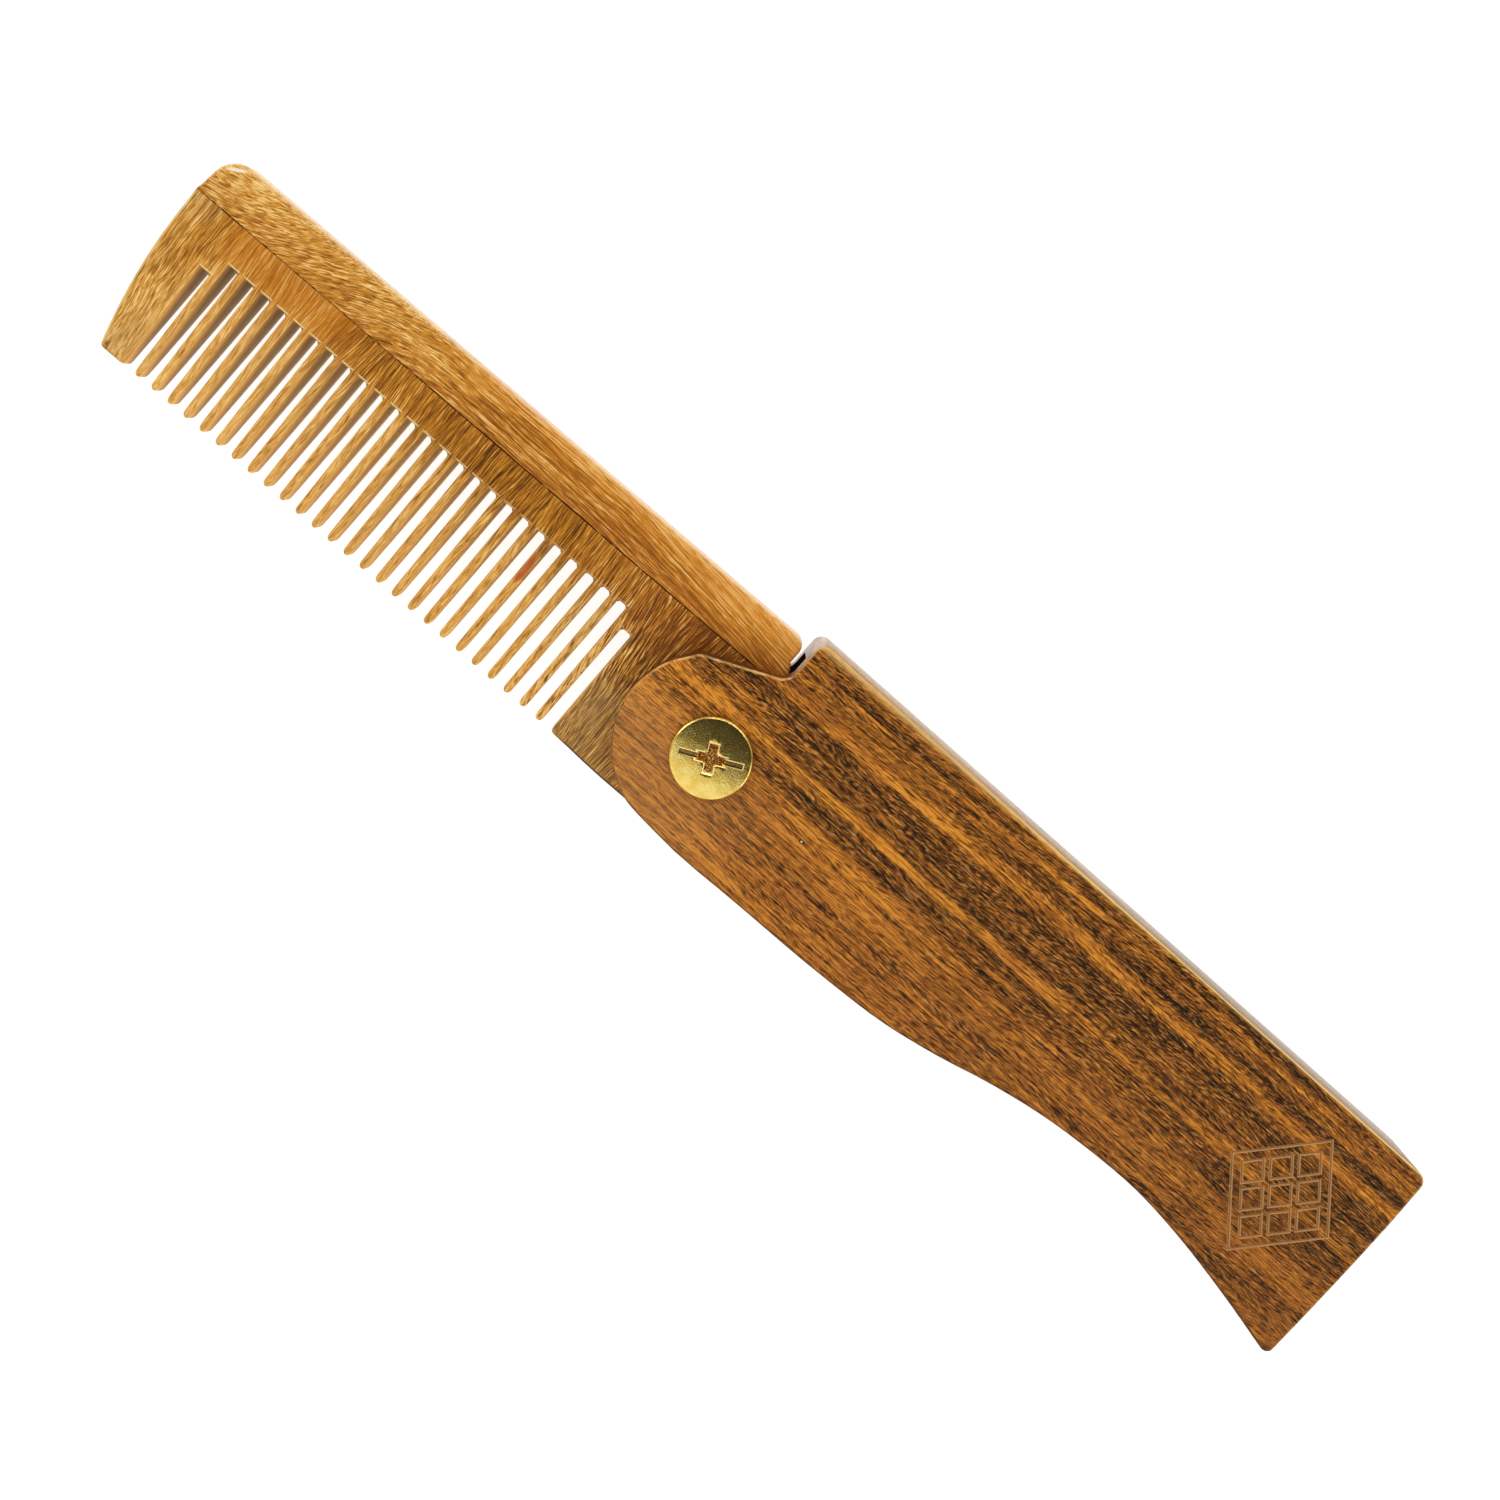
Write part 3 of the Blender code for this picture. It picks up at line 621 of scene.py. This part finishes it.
def makeBoardWood():
    spec = boardWood
    wood = Finish("light comb wood")
    x, y, z = wood.place()
    wander = wood.grain(y, x, z, 14.0, 6.0)
    ripple = wood.grain(y, x, z, 2.6, 1.2)
    lean = wood.noise(x * 0.05, 3.0, 0.5, 1.0) - 0.5
    level = x + wander * 0.8 + ripple * 0.08 + (y - 7.0) * lean * 0.9
    streaks = wood.tones(level, spec["streaks"])
    fibres = wood.grain(y, level, z, 9.0, 0.6, 3.0)
    fine = wood.grain(y, level, z, 1.8, 0.15, 2.0, 0.7)
    hairs = wood.hairs(y, level, z, 7.0, 0.16)
    winding = wood.lines(y, level, z, 8.0, 0.8, 0.14)
    flecks = wood.dashes(y, level, z, 2.4, 0.17, 0.9, 0.6)
    pores = wood.dashes(y + 2.3, level + 4.1, z, 2.4, 0.17, 0.9, 0.6)
    down = 1 - y.fade(1.0, 7.5)
    onHeel = x.fade(-16.6, -15.8)
    onGuard = 1 - x.fade(-85.0, -84.4)
    onTeeth = 1 - onHeel - onGuard
    lively = 1 + x.fade(-30.0, -14.0) * 0.85
    tone = streaks * (1 - down * 0.6) + down * (0.31 + 0.19 * onTeeth)
    tone = tone + onGuard * (1 - y.fade(-8.0, 4.0)) * 0.26 + onHeel * (1 - y.fade(-3.0, 0.0)) * 0.06
    tone = tone + (fibres * 0.3 + fine * 0.54) * lively
    details = hairs * 0.28 + flecks * 0.18 - pores * (0.2 - 0.12 * down * onTeeth) - winding * 0.12
    tone = tone + details * lively
    colour = wood.ramp(tone, spec["colours"])
    olive = wood.noise(x * 0.12, y * 0.06, z * 0.1, 2.0).fade(0.5, 0.7) * 0.3
    olive = olive * (1 - x.fade(-86.0, -82.0) * (1 - down)) + onHeel * (1 - y.fade(-4.0, 1.0)) * 0.35
    colour = wood.mix(olive, colour, spec["olive"])
    orange = x.fade(-86.0, -81.0) * (1 - x.fade(-69.0, -62.0)) * (1 - down) * 0.5
    colour = wood.mix(orange, colour, spec["orange"])
    colour = wood.mix(x.fade(-34.0, -14.0) * (1 - down) * 0.6, colour, wood.mix(0.5, spec["redder"], colour))
    colour = wood.mix(down * (0.1 + 0.3 * onTeeth) * tone.fade(0.2, 0.6), colour, spec["tip"])
    stained = wood.near((x, y), spec["stainPlace"], spec["stainSize"])
    colour = wood.mix(stained * 0.75, colour, spec["stain"])
    # painted highlight on rounded edge facets
    colour = wood.mix(wood.mark("rim"), colour, spec["rim"])
    # painted sheen on the gap walls, paler towards the right, with a painted highlight near the front face
    wall = wood.mix(x.fade(-84.0, -44.0), spec["gapWall"], spec["rightWall"])
    depth = spec["frontZ"] - (spec["taperFrom"] - y).atLeast(0.0) * spec["taper"] - z
    nearFront = wood.mix(y.fade(-6.0, 5.0), spec["wallFront"][1], spec["wallFront"][0])
    wall = wood.mix(1 - depth.fade(0.2, 1.8), wall, nearFront)
    colour = wood.mix(wood.mark("gapWall") * 0.85, colour, wall)
    # painted shade on faces that point -Y
    colour = wood.mix(wood.mark("lowEdge") * 0.8, colour, spec["lowEdge"])
    # height over the heel's lower edge, which runs with the comb's turn; a thin painted shadow line is laid
    # along that edge
    above = y - x * math.tan(combSpec["turn"]) - spec["heelEnd"]
    colour = wood.mix((1 - above.fade(0.06, 0.26)) * onHeel * 0.75, colour, spec["lowEdge"])
    wood.feed("Base Color", colour)
    wood.feed("Roughness", 0.33 - flecks * 0.05 + pores * 0.15 + wood.mark("gapWall") * 0.6)
    wood.feed("Specular IOR Level", 0.12)
    wood.bump(fibres * 0.3 + fine * 0.5 - pores * 0.7, 0.05 * mm, 0.7)
    return wood.material


glueFinish = {
    "dark": paint(46, 20, 6),
    "light": paint(176, 116, 54),
}


def makeGlue():
    glue = Finish("dark glue")
    x, y, z = glue.place()
    broken = glue.noise(x * 0.8, y * 0.8, z * 0.8, 2.0)
    faint = x.fade(-84.0, -81.5) * (1 - x.fade(-66.0, -50.0)) + 1 - x.fade(-88.6, -87.6)
    gone = (broken - 0.04 + faint * 0.16).fade(0.52, 0.62)
    glue.feed("Base Color", glue.mix(gone * 0.8, glueFinish["dark"], glueFinish["light"]))
    glue.feed("Roughness", 0.6)
    glue.feed("Specular IOR Level", 0.1)
    glue.bump(broken, 0.02 * mm, 0.5)
    return glue.material


brassFinish = {
    "pale": paint(238, 210, 120),
    "deep": paint(226, 190, 92),
    # mottled dark patches on the upper half only: tarnish with a painted dark reflection
    "tarnishAndDarkReflection": paint(100, 80, 40),
    # pale lip round the recess edges: painted highlight
    "lip": paint(250, 222, 146),
    # darker recess: painted shade, with painted glints
    "recess": paint(150, 88, 34),
    "glints": paint(255, 214, 120),
    # slot ends beyond the cross: painted shade
    "slotEnd": paint(150, 122, 66),
}


def makeBrass():
    brass = Finish("lacquered brass")
    x, y, z = brass.place()
    cloud = brass.noise(x * 0.8, y * 0.8, z * 0.8, 3.0, 0.6)
    grit = brass.noise(x * 5.5, y * 5.5, z * 5.5, 2.0, 0.7)
    tint = brass.mix(cloud.fade(0.35, 0.65), brassFinish["pale"], brassFinish["deep"])
    # painted dark reflection with tarnish, on the upper half of the head
    tint = brass.mix(grit.fade(0.52, 0.66) * y.fade(-1.5, 2.0) * 0.7, tint, brassFinish["tarnishAndDarkReflection"])
    # painted shade in the recess, broken by painted glints
    glints = brass.mix(grit.fade(0.52, 0.6), brassFinish["recess"], brassFinish["glints"])
    tint = brass.mix(brass.mark("recess"), tint, glints)
    # painted shade at the slot's ends
    tint = brass.mix(brass.mark("slotEnd"), tint, brassFinish["slotEnd"])
    # painted highlight on the recess's broken edges
    brass.feed("Base Color", brass.mix(brass.mark("lip"), tint, brassFinish["lip"]))
    brass.feed("Metallic", 1.0)
    brass.feed("Roughness", 0.17 + grit.fade(0.5, 0.7) * 0.12)
    brass.bump(cloud * 0.9 + grit * (0.6 + 1.6 * brass.mark("recess")), 0.03 * mm, 0.6)
    return brass.material


materials = {
    "handle": makeHandleWood(),
    "spine": makeSpineWood(),
    "board": makeBoardWood(),
    "glue": makeGlue(),
    "brass": makeBrass(),
}
print("finishes made:", len(materials))


# Handle
handleSpec = {
    "carvingCentre": (84.2 * mm, 6.0 * mm),
    "lozenge": (2.15 * mm, 2.55 * mm),
    "lozengeShare": 0.76,
    "border": (7.5 * mm, 8.9 * mm),
    "borderMargin": 0.6,
    "grooveRadius": 0.26 * mm,
    "grooveLift": 0.06 * mm,
    "slot": (3.55, 8.85),
    "slotBackY": 14.0,
    "slotEndX": 88.0,
    "backY": 15.0,
    "notchX": (-1.0, 3.0),
    "notchY": 13.6,
    "cheekX": 2.0,
    "cheekY": 13.8,
    "smoothAngle": 40,
}


def lozengeGroove(centre, halfSizes, topZ):
    # a ring of four straight runs whose lower part cuts the groove
    deselectAll()
    bpy.ops.mesh.primitive_torus_add(
        major_segments=4,
        minor_segments=12,
        major_radius=halfSizes[0],
        minor_radius=handleSpec["grooveRadius"],
        location=(centre[0], centre[1], topZ + handleSpec["grooveLift"]),
    )
    ring = bpy.context.object
    ring.scale.y = halfSizes[1] / halfSizes[0]
    settle(ring)
    return ring


def handleMarks(frontZ):
    spec = handleSpec
    x0, y0 = (value / mm for value in spec["carvingCentre"])
    halfX, halfY = (value / mm + spec["borderMargin"] for value in spec["border"])
    groove = (spec["grooveRadius"] - spec["grooveLift"]) / mm
    slotLow, slotHigh = spec["slot"]
    notchFrom, notchTo = spec["notchX"]

    def inSlot(place, normal, facing):
        # the slot's inner faces, which get a painted shade
        if not slotLow < place.z < slotHigh:
            return 0.0
        floor = abs(normal.z) > 0.9
        back = normal.y < -0.8 and place.y > spec["slotBackY"]
        end = normal.x < -0.8 and place.x > spec["slotEndX"]
        return 1.0 if floor or back or end else 0.0

    def onBack(place, normal):
        return place.y > spec["backY"] and normal.y > 0

    def rim(place, normal, facing):
        # worn edges with a painted highlight, only on edge facets that face +Y
        return onRounding(facing) * rise(facing.y, -0.1, 0.2) * (not onBack(place, normal))

    def wornBack(place, normal, facing):
        # the rounded back edge, which gets wear and a painted highlight
        steep = abs(normal.z)
        return (1 - rise(steep, 0.8, 0.97)) * rise(steep, 0.05, 0.2) * onBack(place, normal)

    def backLine(place, normal, facing):
        # painted highlight on the back edge's rounding, stronger towards the far end
        steep = abs(normal.z)
        strength = 0.45 + 0.55 * rise(place.x, 10, 75)
        return rise(steep, 0.1, 0.3) * (1 - rise(steep, 0.6, 0.9)) * strength * onBack(place, normal)

    def backWall(place, normal, facing):
        # the flat back wall, which gets the painted sheen
        return (1 - rise(abs(normal.z), 0.05, 0.2)) * rise(normal.y, 0.5, 0.8) * onBack(place, normal)

    def notchWall(place, normal, facing):
        # the notch's end wall, which gets a painted sheen
        inNotch = notchFrom < place.x < notchTo and place.y > spec["notchY"]
        return rise(-normal.x, 0.3, 0.7) * (1 - rise(abs(normal.z), 0.1, 0.5)) * inNotch

    def cheekWall(place, normal, facing):
        # the cheek's side wall, which gets a painted shade
        onCheek = place.x < spec["cheekX"] and place.y < spec["cheekY"]
        return (abs(facing.z) < 0.5) * (normal.y > 0) * onCheek

    def lowEdge(place, normal, facing):
        # painted shade on the edge facets that face -Y
        return onRounding(facing) * rise(-facing.y, 0.1, 0.3)

    def carved(place, normal, facing):
        # depth into a groove, which sets the painted highlight and shade
        inside = abs(place.x - x0) / halfX + abs(place.y - y0) / halfY < 1
        return rise(frontZ - place.z, 0.0, groove) if inside and frontZ - place.z < 1 else 0.0

    return {
        "slotInside": inSlot,
        "rim": rim,
        "wornBack": wornBack,
        "backLine": backLine,
        "cheekWall": cheekWall,
        "backWall": backWall,
        "notchWall": notchWall,
        "lowEdge": lowEdge,
        "carved": carved,
    }


def buildHandle():
    spec = handleSpec
    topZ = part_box("handle")[1].z
    handle = copyNode("handle", "handleBody")
    x, y = spec["carvingCentre"]
    across, tall = spec["lozenge"]
    grooves = [((x, y), spec["border"])]
    for i in (-1, 0, 1):
        for j in (-1, 0, 1):
            centre = (x + across * (i - j), y + tall * (i + j))
            grooves.append((centre, (across * spec["lozengeShare"], tall * spec["lozengeShare"])))
    for centre, sizes in grooves:
        combine(handle, lozengeGroove(centre, sizes, topZ), "DIFFERENCE")
    smoothOver(handle, spec["smoothAngle"])
    markSurface(handle, handleMarks(topZ / mm))
    handle.data.materials.append(materials["handle"])
    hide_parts("handle")
    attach(handle, "handle")
    print("handle:", len(handle.data.polygons), "faces")


# Comb
def spineMarks():
    def rim(place, normal, facing):
        # painted highlight on edge facets that face +Y and -X
        steep = abs(normal.z)
        outer = rise(steep, -0.5, 0.2) * (1 - rise(steep, 0.5, 0.8))
        return outer * rise(normal.y - 0.8 * normal.x, 0.2, 0.7)

    return {"rim": rim}


def boardMarks():
    spec = combSpec

    def amongTeeth(place):
        return spec["teethFrom"] < place.x < spec["teethTo"] and place.y < spec["gapTop"]

    def rim(place, normal, facing):
        # painted highlight on rounded edge facets
        if not onRounding(facing):
            return 0.0
        if amongTeeth(place):
            atRoot = facing.y < -0.2 and place.y > spec["rootsFrom"]
            return 0.7 - 0.5 * rise(place.x, -55, -30) if atRoot else 0.1
        return 0.6 * rise(-facing.x, 0.1, 0.3) * (place.x < spec["teethFrom"])

    def gapWall(place, normal, facing):
        # the gap walls, which get the painted sheen and highlight
        return (abs(facing.z) < 0.5) * amongTeeth(place)

    def lowEdge(place, normal, facing):
        # painted shade on faces that point -Y, strongest on the heel
        if amongTeeth(place) or facing.y > -0.3:
            return 0.0
        return 1.0 if place.x > spec["teethTo"] else 0.5

    return {"rim": rim, "gapWall": gapWall, "lowEdge": lowEdge}


def roundRoots(board):
    # the inner corners of the gaps, where the saw left them round
    spec = combSpec
    sharp = edgesWhere(board, lambda first, second: first.angle(second, 0.0) > spec["rootAngle"])

    def inCorner(a, b):
        upright = (a - b).xy.length < spec["uprightWithin"] and abs(a.z - b.z) > spec["uprightOver"]
        inGaps = spec["teethFrom"] < a.x / mm < spec["teethTo"] and 0.0 < a.y / mm < spec["gapTop"]
        return upright and inGaps and frozenset((tuple(a), tuple(b))) in sharp

    makeActive(board)
    selectEdges(board, inCorner)
    bevelSelected(spec["rootRounding"], 3)


def buildCombPiece(nodeName, pieceName, material, marks):
    piece = copyNode(nodeName, pieceName)
    if nodeName == "tooth_board":
        roundRoots(piece)
    smoothOver(piece, combSpec["smoothAngle"])
    markSurface(piece, marks)
    piece.data.materials.append(material)
    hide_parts(nodeName)
    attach(piece, "comb")
    print(pieceName + ":", len(piece.data.polygons), "faces")


def buildGlueLine():
    # the thin dark joint between the spine and the tooth board, a hair below their faces
    spec = combSpec
    low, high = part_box("comb_spine")
    middle = ((spec["glueFrom"] + spec["glueTo"]) / 2, spec["glueY"], (low.z + high.z) / 2)
    length = spec["glueTo"] - spec["glueFrom"]
    deselectAll()
    bpy.ops.mesh.primitive_cube_add(size=1.0, location=middle)
    line = bpy.context.object
    line.name = "glueLine"
    line.scale = (length, 2 * spec["glueHalf"], high.z - low.z - 2 * spec["glueSunk"])
    settle(line)
    bpy.ops.object.mode_set(mode="EDIT")
    bpy.ops.mesh.select_all(action="SELECT")
    bpy.ops.transform.rotate(value=-spec["turn"], orient_axis="Z", center_override=(0, 0, 0))
    bpy.ops.object.mode_set(mode="OBJECT")
    bevel = line.modifiers.new("soft edges", "BEVEL")
    bevel.width = spec["glueRounding"]
    bevel.segments = 2
    applyModifiers(line)
    line.data.materials.append(materials["glue"])
    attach(line, "comb")
    print("glue line at", [round(value / mm, 2) for value in line.data.vertices[0].co])


# Binding screw
screwSpec = {
    "headRadius": 4.98 * mm,
    "headSegments": 128,
    "underside": 0.10 * mm,
    "rimRounding": 0.34 * mm,
    "rimSegments": 8,
    "crown": 9.0,
    "crownGrid": 0.4 * mm,
    "turn": math.radians(27.0),
    "slot": (7.7 * mm, 0.58 * mm, 0.42 * mm),
    "cross": (3.8 * mm, 1.1 * mm, 0.85 * mm),
    "crossTaper": 0.6,
    "crossHub": (0.98 * mm, 0.5 * mm, 32),
    "recessEdge": 0.15 * mm,
    "recessSegments": 3,
    "recessTilt": 0.3,
    "recessShare": 0.9,
    "rimShare": 0.98,
    "gridShift": 0.37,
    "shankRadius": 1.8 * mm,
    "barrelRadius": 2.5 * mm,
    "boreRadius": 1.9 * mm,
    "boreFloor": 1.8 * mm,
    "stemSegments": 48,
    "join": 0.2 * mm,
    "frontSmooth": 14,
    "rearSmooth": 35,
}


def cylinderPiece(name, radius, lowZ, highZ, segments=screwSpec["stemSegments"]):
    deselectAll()
    bpy.ops.mesh.primitive_cylinder_add(
        vertices=segments, radius=radius, depth=highZ - lowZ, location=(0, 0, (lowZ + highZ) / 2)
    )
    piece = bpy.context.object
    piece.name = name
    settle(piece)
    return piece


def roundRim(piece, faceZ):
    # rounds the outer edge of the face at the height faceZ
    spec = screwSpec
    reach = spec["headRadius"] * spec["rimShare"]

    def onRim(a, b):
        return all(abs(p.z - faceZ) < helperSpec["levelWithin"] and p.xy.length > reach for p in (a, b))

    selectEdges(piece, onRim)
    bevelSelected(spec["rimRounding"], spec["rimSegments"])


def recessCutter(size, turn, topZ, taper):
    # a block that is taper times as wide at its foot as at the face
    deselectAll()
    bpy.ops.mesh.primitive_cube_add(size=1.0, location=(0, 0, topZ))
    cutter = bpy.context.object
    cutter.scale = (size[0], size[1], 2 * size[2])
    settle(cutter)
    for vertex in cutter.data.vertices:
        widening = taper if vertex.co.z < topZ else 2 - taper
        vertex.co.x *= widening
        vertex.co.y *= widening
    cutter.rotation_euler.z = turn
    settle(cutter)
    return cutter


def cutRecess(head, topZ):
    # the slot and the cross are cut into the flat face, and their edges are broken
    spec = screwSpec
    cutter = recessCutter(spec["slot"], spec["turn"], topZ, 1.0)
    for turn in (spec["turn"], spec["turn"] + math.pi / 2):
        combine(cutter, recessCutter(spec["cross"], turn, topZ, spec["crossTaper"]), "UNION")
    deselectAll()
    wide, narrow, count = spec["crossHub"]
    depth = spec["cross"][2]
    bpy.ops.mesh.primitive_cone_add(
        vertices=count, radius1=narrow, radius2=2 * wide - narrow, depth=2 * depth, location=(0, 0, topZ)
    )
    hub = bpy.context.object
    settle(hub)
    combine(cutter, hub, "UNION")
    combine(head, cutter, "DIFFERENCE")
    sharp = edgesWhere(head, lambda first, second: abs(abs(first.z) - abs(second.z)) > spec["recessTilt"])
    inner = spec["headRadius"] * spec["recessShare"]

    def onEdge(a, b):
        level = all(abs(p.z - topZ) < helperSpec["levelWithin"] and p.xy.length < inner for p in (a, b))
        return level and frozenset((tuple(a), tuple(b))) in sharp

    makeActive(head)
    selectEdges(head, onEdge)
    bevelSelected(spec["recessEdge"], spec["recessSegments"])


def crownFace(head, lowZ):
    # a fine grid lets the whole face bend down towards its rim
    spec = screwSpec
    count = int(spec["headRadius"] / spec["crownGrid"])
    selectFaces(head, lambda face: face.center.z > lowZ)
    for i in range(-count, count + 1):
        for normal in ((1, 0, 0), (0, 1, 0)):
            place = tuple(value * (i + spec["gridShift"]) * spec["crownGrid"] for value in normal)
            bpy.ops.mesh.bisect(plane_co=place, plane_no=normal)
            bpy.ops.mesh.select_all(action="SELECT")
    bpy.ops.object.mode_set(mode="OBJECT")
    for vertex in head.data.vertices:
        if vertex.co.z > lowZ + spec["join"]:
            vertex.co.z -= spec["crown"] * vertex.co.xy.length_squared


def screwMarks(topZ):
    spec = screwSpec
    reach = spec["slot"][0] / mm / 2 + 0.3

    def depth(place):
        crowned = spec["crown"] * mm * place.xy.length_squared
        return topZ - crowned - place.z if place.xy.length < reach else 0.0

    def lip(place, normal, facing):
        # the recess's broken edges, which get a painted highlight
        return depth(place) < 0.16 and abs(facing.z) < 0.98 and place.xy.length < reach

    def recess(place, normal, facing):
        # painted shade deeper in the recess
        return rise(depth(place), 0.12, 0.2) * (not lip(place, normal, facing))

    def slotEnd(place, normal, facing):
        # painted shade at the ends of the slot
        along = abs(place.x * math.cos(spec["turn"]) + place.y * math.sin(spec["turn"]))
        return recess(place, normal, facing) * (along > spec["cross"][0] / mm / 2 - 0.05)

    return {"lip": lip, "recess": recess, "slotEnd": slotEnd}


def buildScrew():
    spec = screwSpec
    low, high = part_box("screw")
    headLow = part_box("handle")[1].z + spec["underside"]
    head = cylinderPiece("screwFront", spec["headRadius"], headLow, high.z, spec["headSegments"])
    roundRim(head, high.z)
    cutRecess(head, high.z)
    crownFace(head, headLow)
    shank = cylinderPiece("shank", spec["shankRadius"], low.z, headLow + spec["join"])
    combine(head, shank, "UNION")
    smoothOver(head, spec["frontSmooth"])
    markSurface(head, screwMarks(high.z / mm))
    head.data.materials.append(materials["brass"])
    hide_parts("screw")
    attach(head, "handle")
    print("screwFront:", len(head.data.polygons), "faces")


def buildPost():
    spec = screwSpec
    low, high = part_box("post")
    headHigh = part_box("handle")[0].z - spec["underside"]
    head = cylinderPiece("screwRear", spec["headRadius"], low.z, headHigh, spec["headSegments"])
    roundRim(head, low.z)
    barrel = cylinderPiece("barrel", spec["barrelRadius"], headHigh - spec["join"], high.z)
    combine(head, barrel, "UNION")
    combine(head, cylinderPiece("bore", spec["boreRadius"], spec["boreFloor"], 2 * high.z), "DIFFERENCE")
    smoothOver(head, spec["rearSmooth"])
    head.data.materials.append(materials["brass"])
    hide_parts("post")
    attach(head, "handle")
    print("screwRear:", len(head.data.polygons), "faces")


# Table, light and camera
studioSpec = {
    "skyColour": (0.97, 0.98, 1.0, 1.0),
    "skyTop": 0.045,
    "skyGlow": 0.74,
    "skyGlowEnds": (0.30, 0.75),
    "softboxes": (
        ("front box", (0.12, -0.75, 0.95), (1.7, 1.15), 7.0),
        ("back box", (-0.10, 0.75, 0.80), (1.2, 0.7), 4.4),
        ("left box", (-0.90, 0.0, 0.50), (0.5, 1.0), 2.8),
        ("right box", (0.95, 0.0, 0.50), (0.5, 1.0), 2.2),
    ),
    "tableColours": (paint(160, 160, 160), paint(164, 164, 163)),
    "tableGlow": 0.86,
    "tableSize": 6.0,
    "tableDrop": 0.01 * mm,
    "camera": (-22.13 * mm, 35.42 * mm, 202.76 * mm),
    "cameraTurn": (-3.2, 2.654, 41.577),
    "lens": 39.51,
    "sensorWidth": 36.0,
    "shift": (0.0369, -0.1676),
    "clipStart": 0.01,
}


def softbox(name, place, size, power):
    data = bpy.data.lights.new(name, "AREA")
    data.shape = "RECTANGLE"
    data.size, data.size_y = size
    data.energy = power
    light = bpy.data.objects.new(name, data)
    bpy.context.scene.collection.objects.link(light)
    light.location = place
    light.rotation_euler = (-Vector(place)).to_track_quat("-Z", "Y").to_euler()
    light.visible_camera = False


def buildTable():
    spec = studioSpec
    deselectAll()
    bpy.ops.mesh.primitive_plane_add(size=spec["tableSize"], location=(0, 0, -spec["tableDrop"]))
    table = bpy.context.object
    table.name = "table"
    settle(table)
    cover = Finish("pale table")
    x, y, z = cover.place()
    cloud = cover.noise(x * 0.01, y * 0.01, z, 2.0)
    cover.feed("Base Color", cover.mix(cloud, *spec["tableColours"]))
    cover.feed("Roughness", 0.9)
    cover.feed("Specular IOR Level", 0.1)
    cover.feed("Emission Color", (1.0, 1.0, 1.0, 1.0))
    cover.feed("Emission Strength", spec["tableGlow"])
    table.data.materials.append(cover.material)


def buildSky():
    # dim overhead and bright round the horizon
    spec = studioSpec
    world = bpy.data.worlds.new("studio")
    bpy.context.scene.world = world
    world.use_nodes = True
    sky = Nodes(world.node_tree)
    heading = sky.node("SeparateXYZ", inputs={0: sky.node("TexCoord", output="Generated")})
    strength = spec["skyTop"] + spec["skyGlow"] * (1 - heading.output("Z").fade(*spec["skyGlowEnds"]))
    background = sky.tree.nodes["Background"]
    background.inputs["Color"].default_value = spec["skyColour"]
    sky.tree.links.new(strength.socket, background.inputs["Strength"])


def buildCamera():
    spec = studioSpec
    data = bpy.data.cameras.new("camera")
    data.lens = spec["lens"]
    data.sensor_width = spec["sensorWidth"]
    data.shift_x, data.shift_y = spec["shift"]
    data.clip_start = spec["clipStart"]
    camera = bpy.data.objects.new("camera", data)
    bpy.context.scene.collection.objects.link(camera)
    camera.location = spec["camera"]
    camera.rotation_euler = [math.radians(angle) for angle in spec["cameraTurn"]]
    bpy.context.scene.camera = camera
    bpy.context.scene.view_settings.view_transform = "Standard"


buildHandle()
buildCombPiece("comb_spine", "combSpine", materials["spine"], spineMarks())
buildCombPiece("tooth_board", "toothBoard", materials["board"], boardMarks())
buildGlueLine()
buildScrew()
buildPost()
print("pieces built")
buildTable()
buildSky()
for row in studioSpec["softboxes"]:
    softbox(*row)
buildCamera()
print("studio ready")
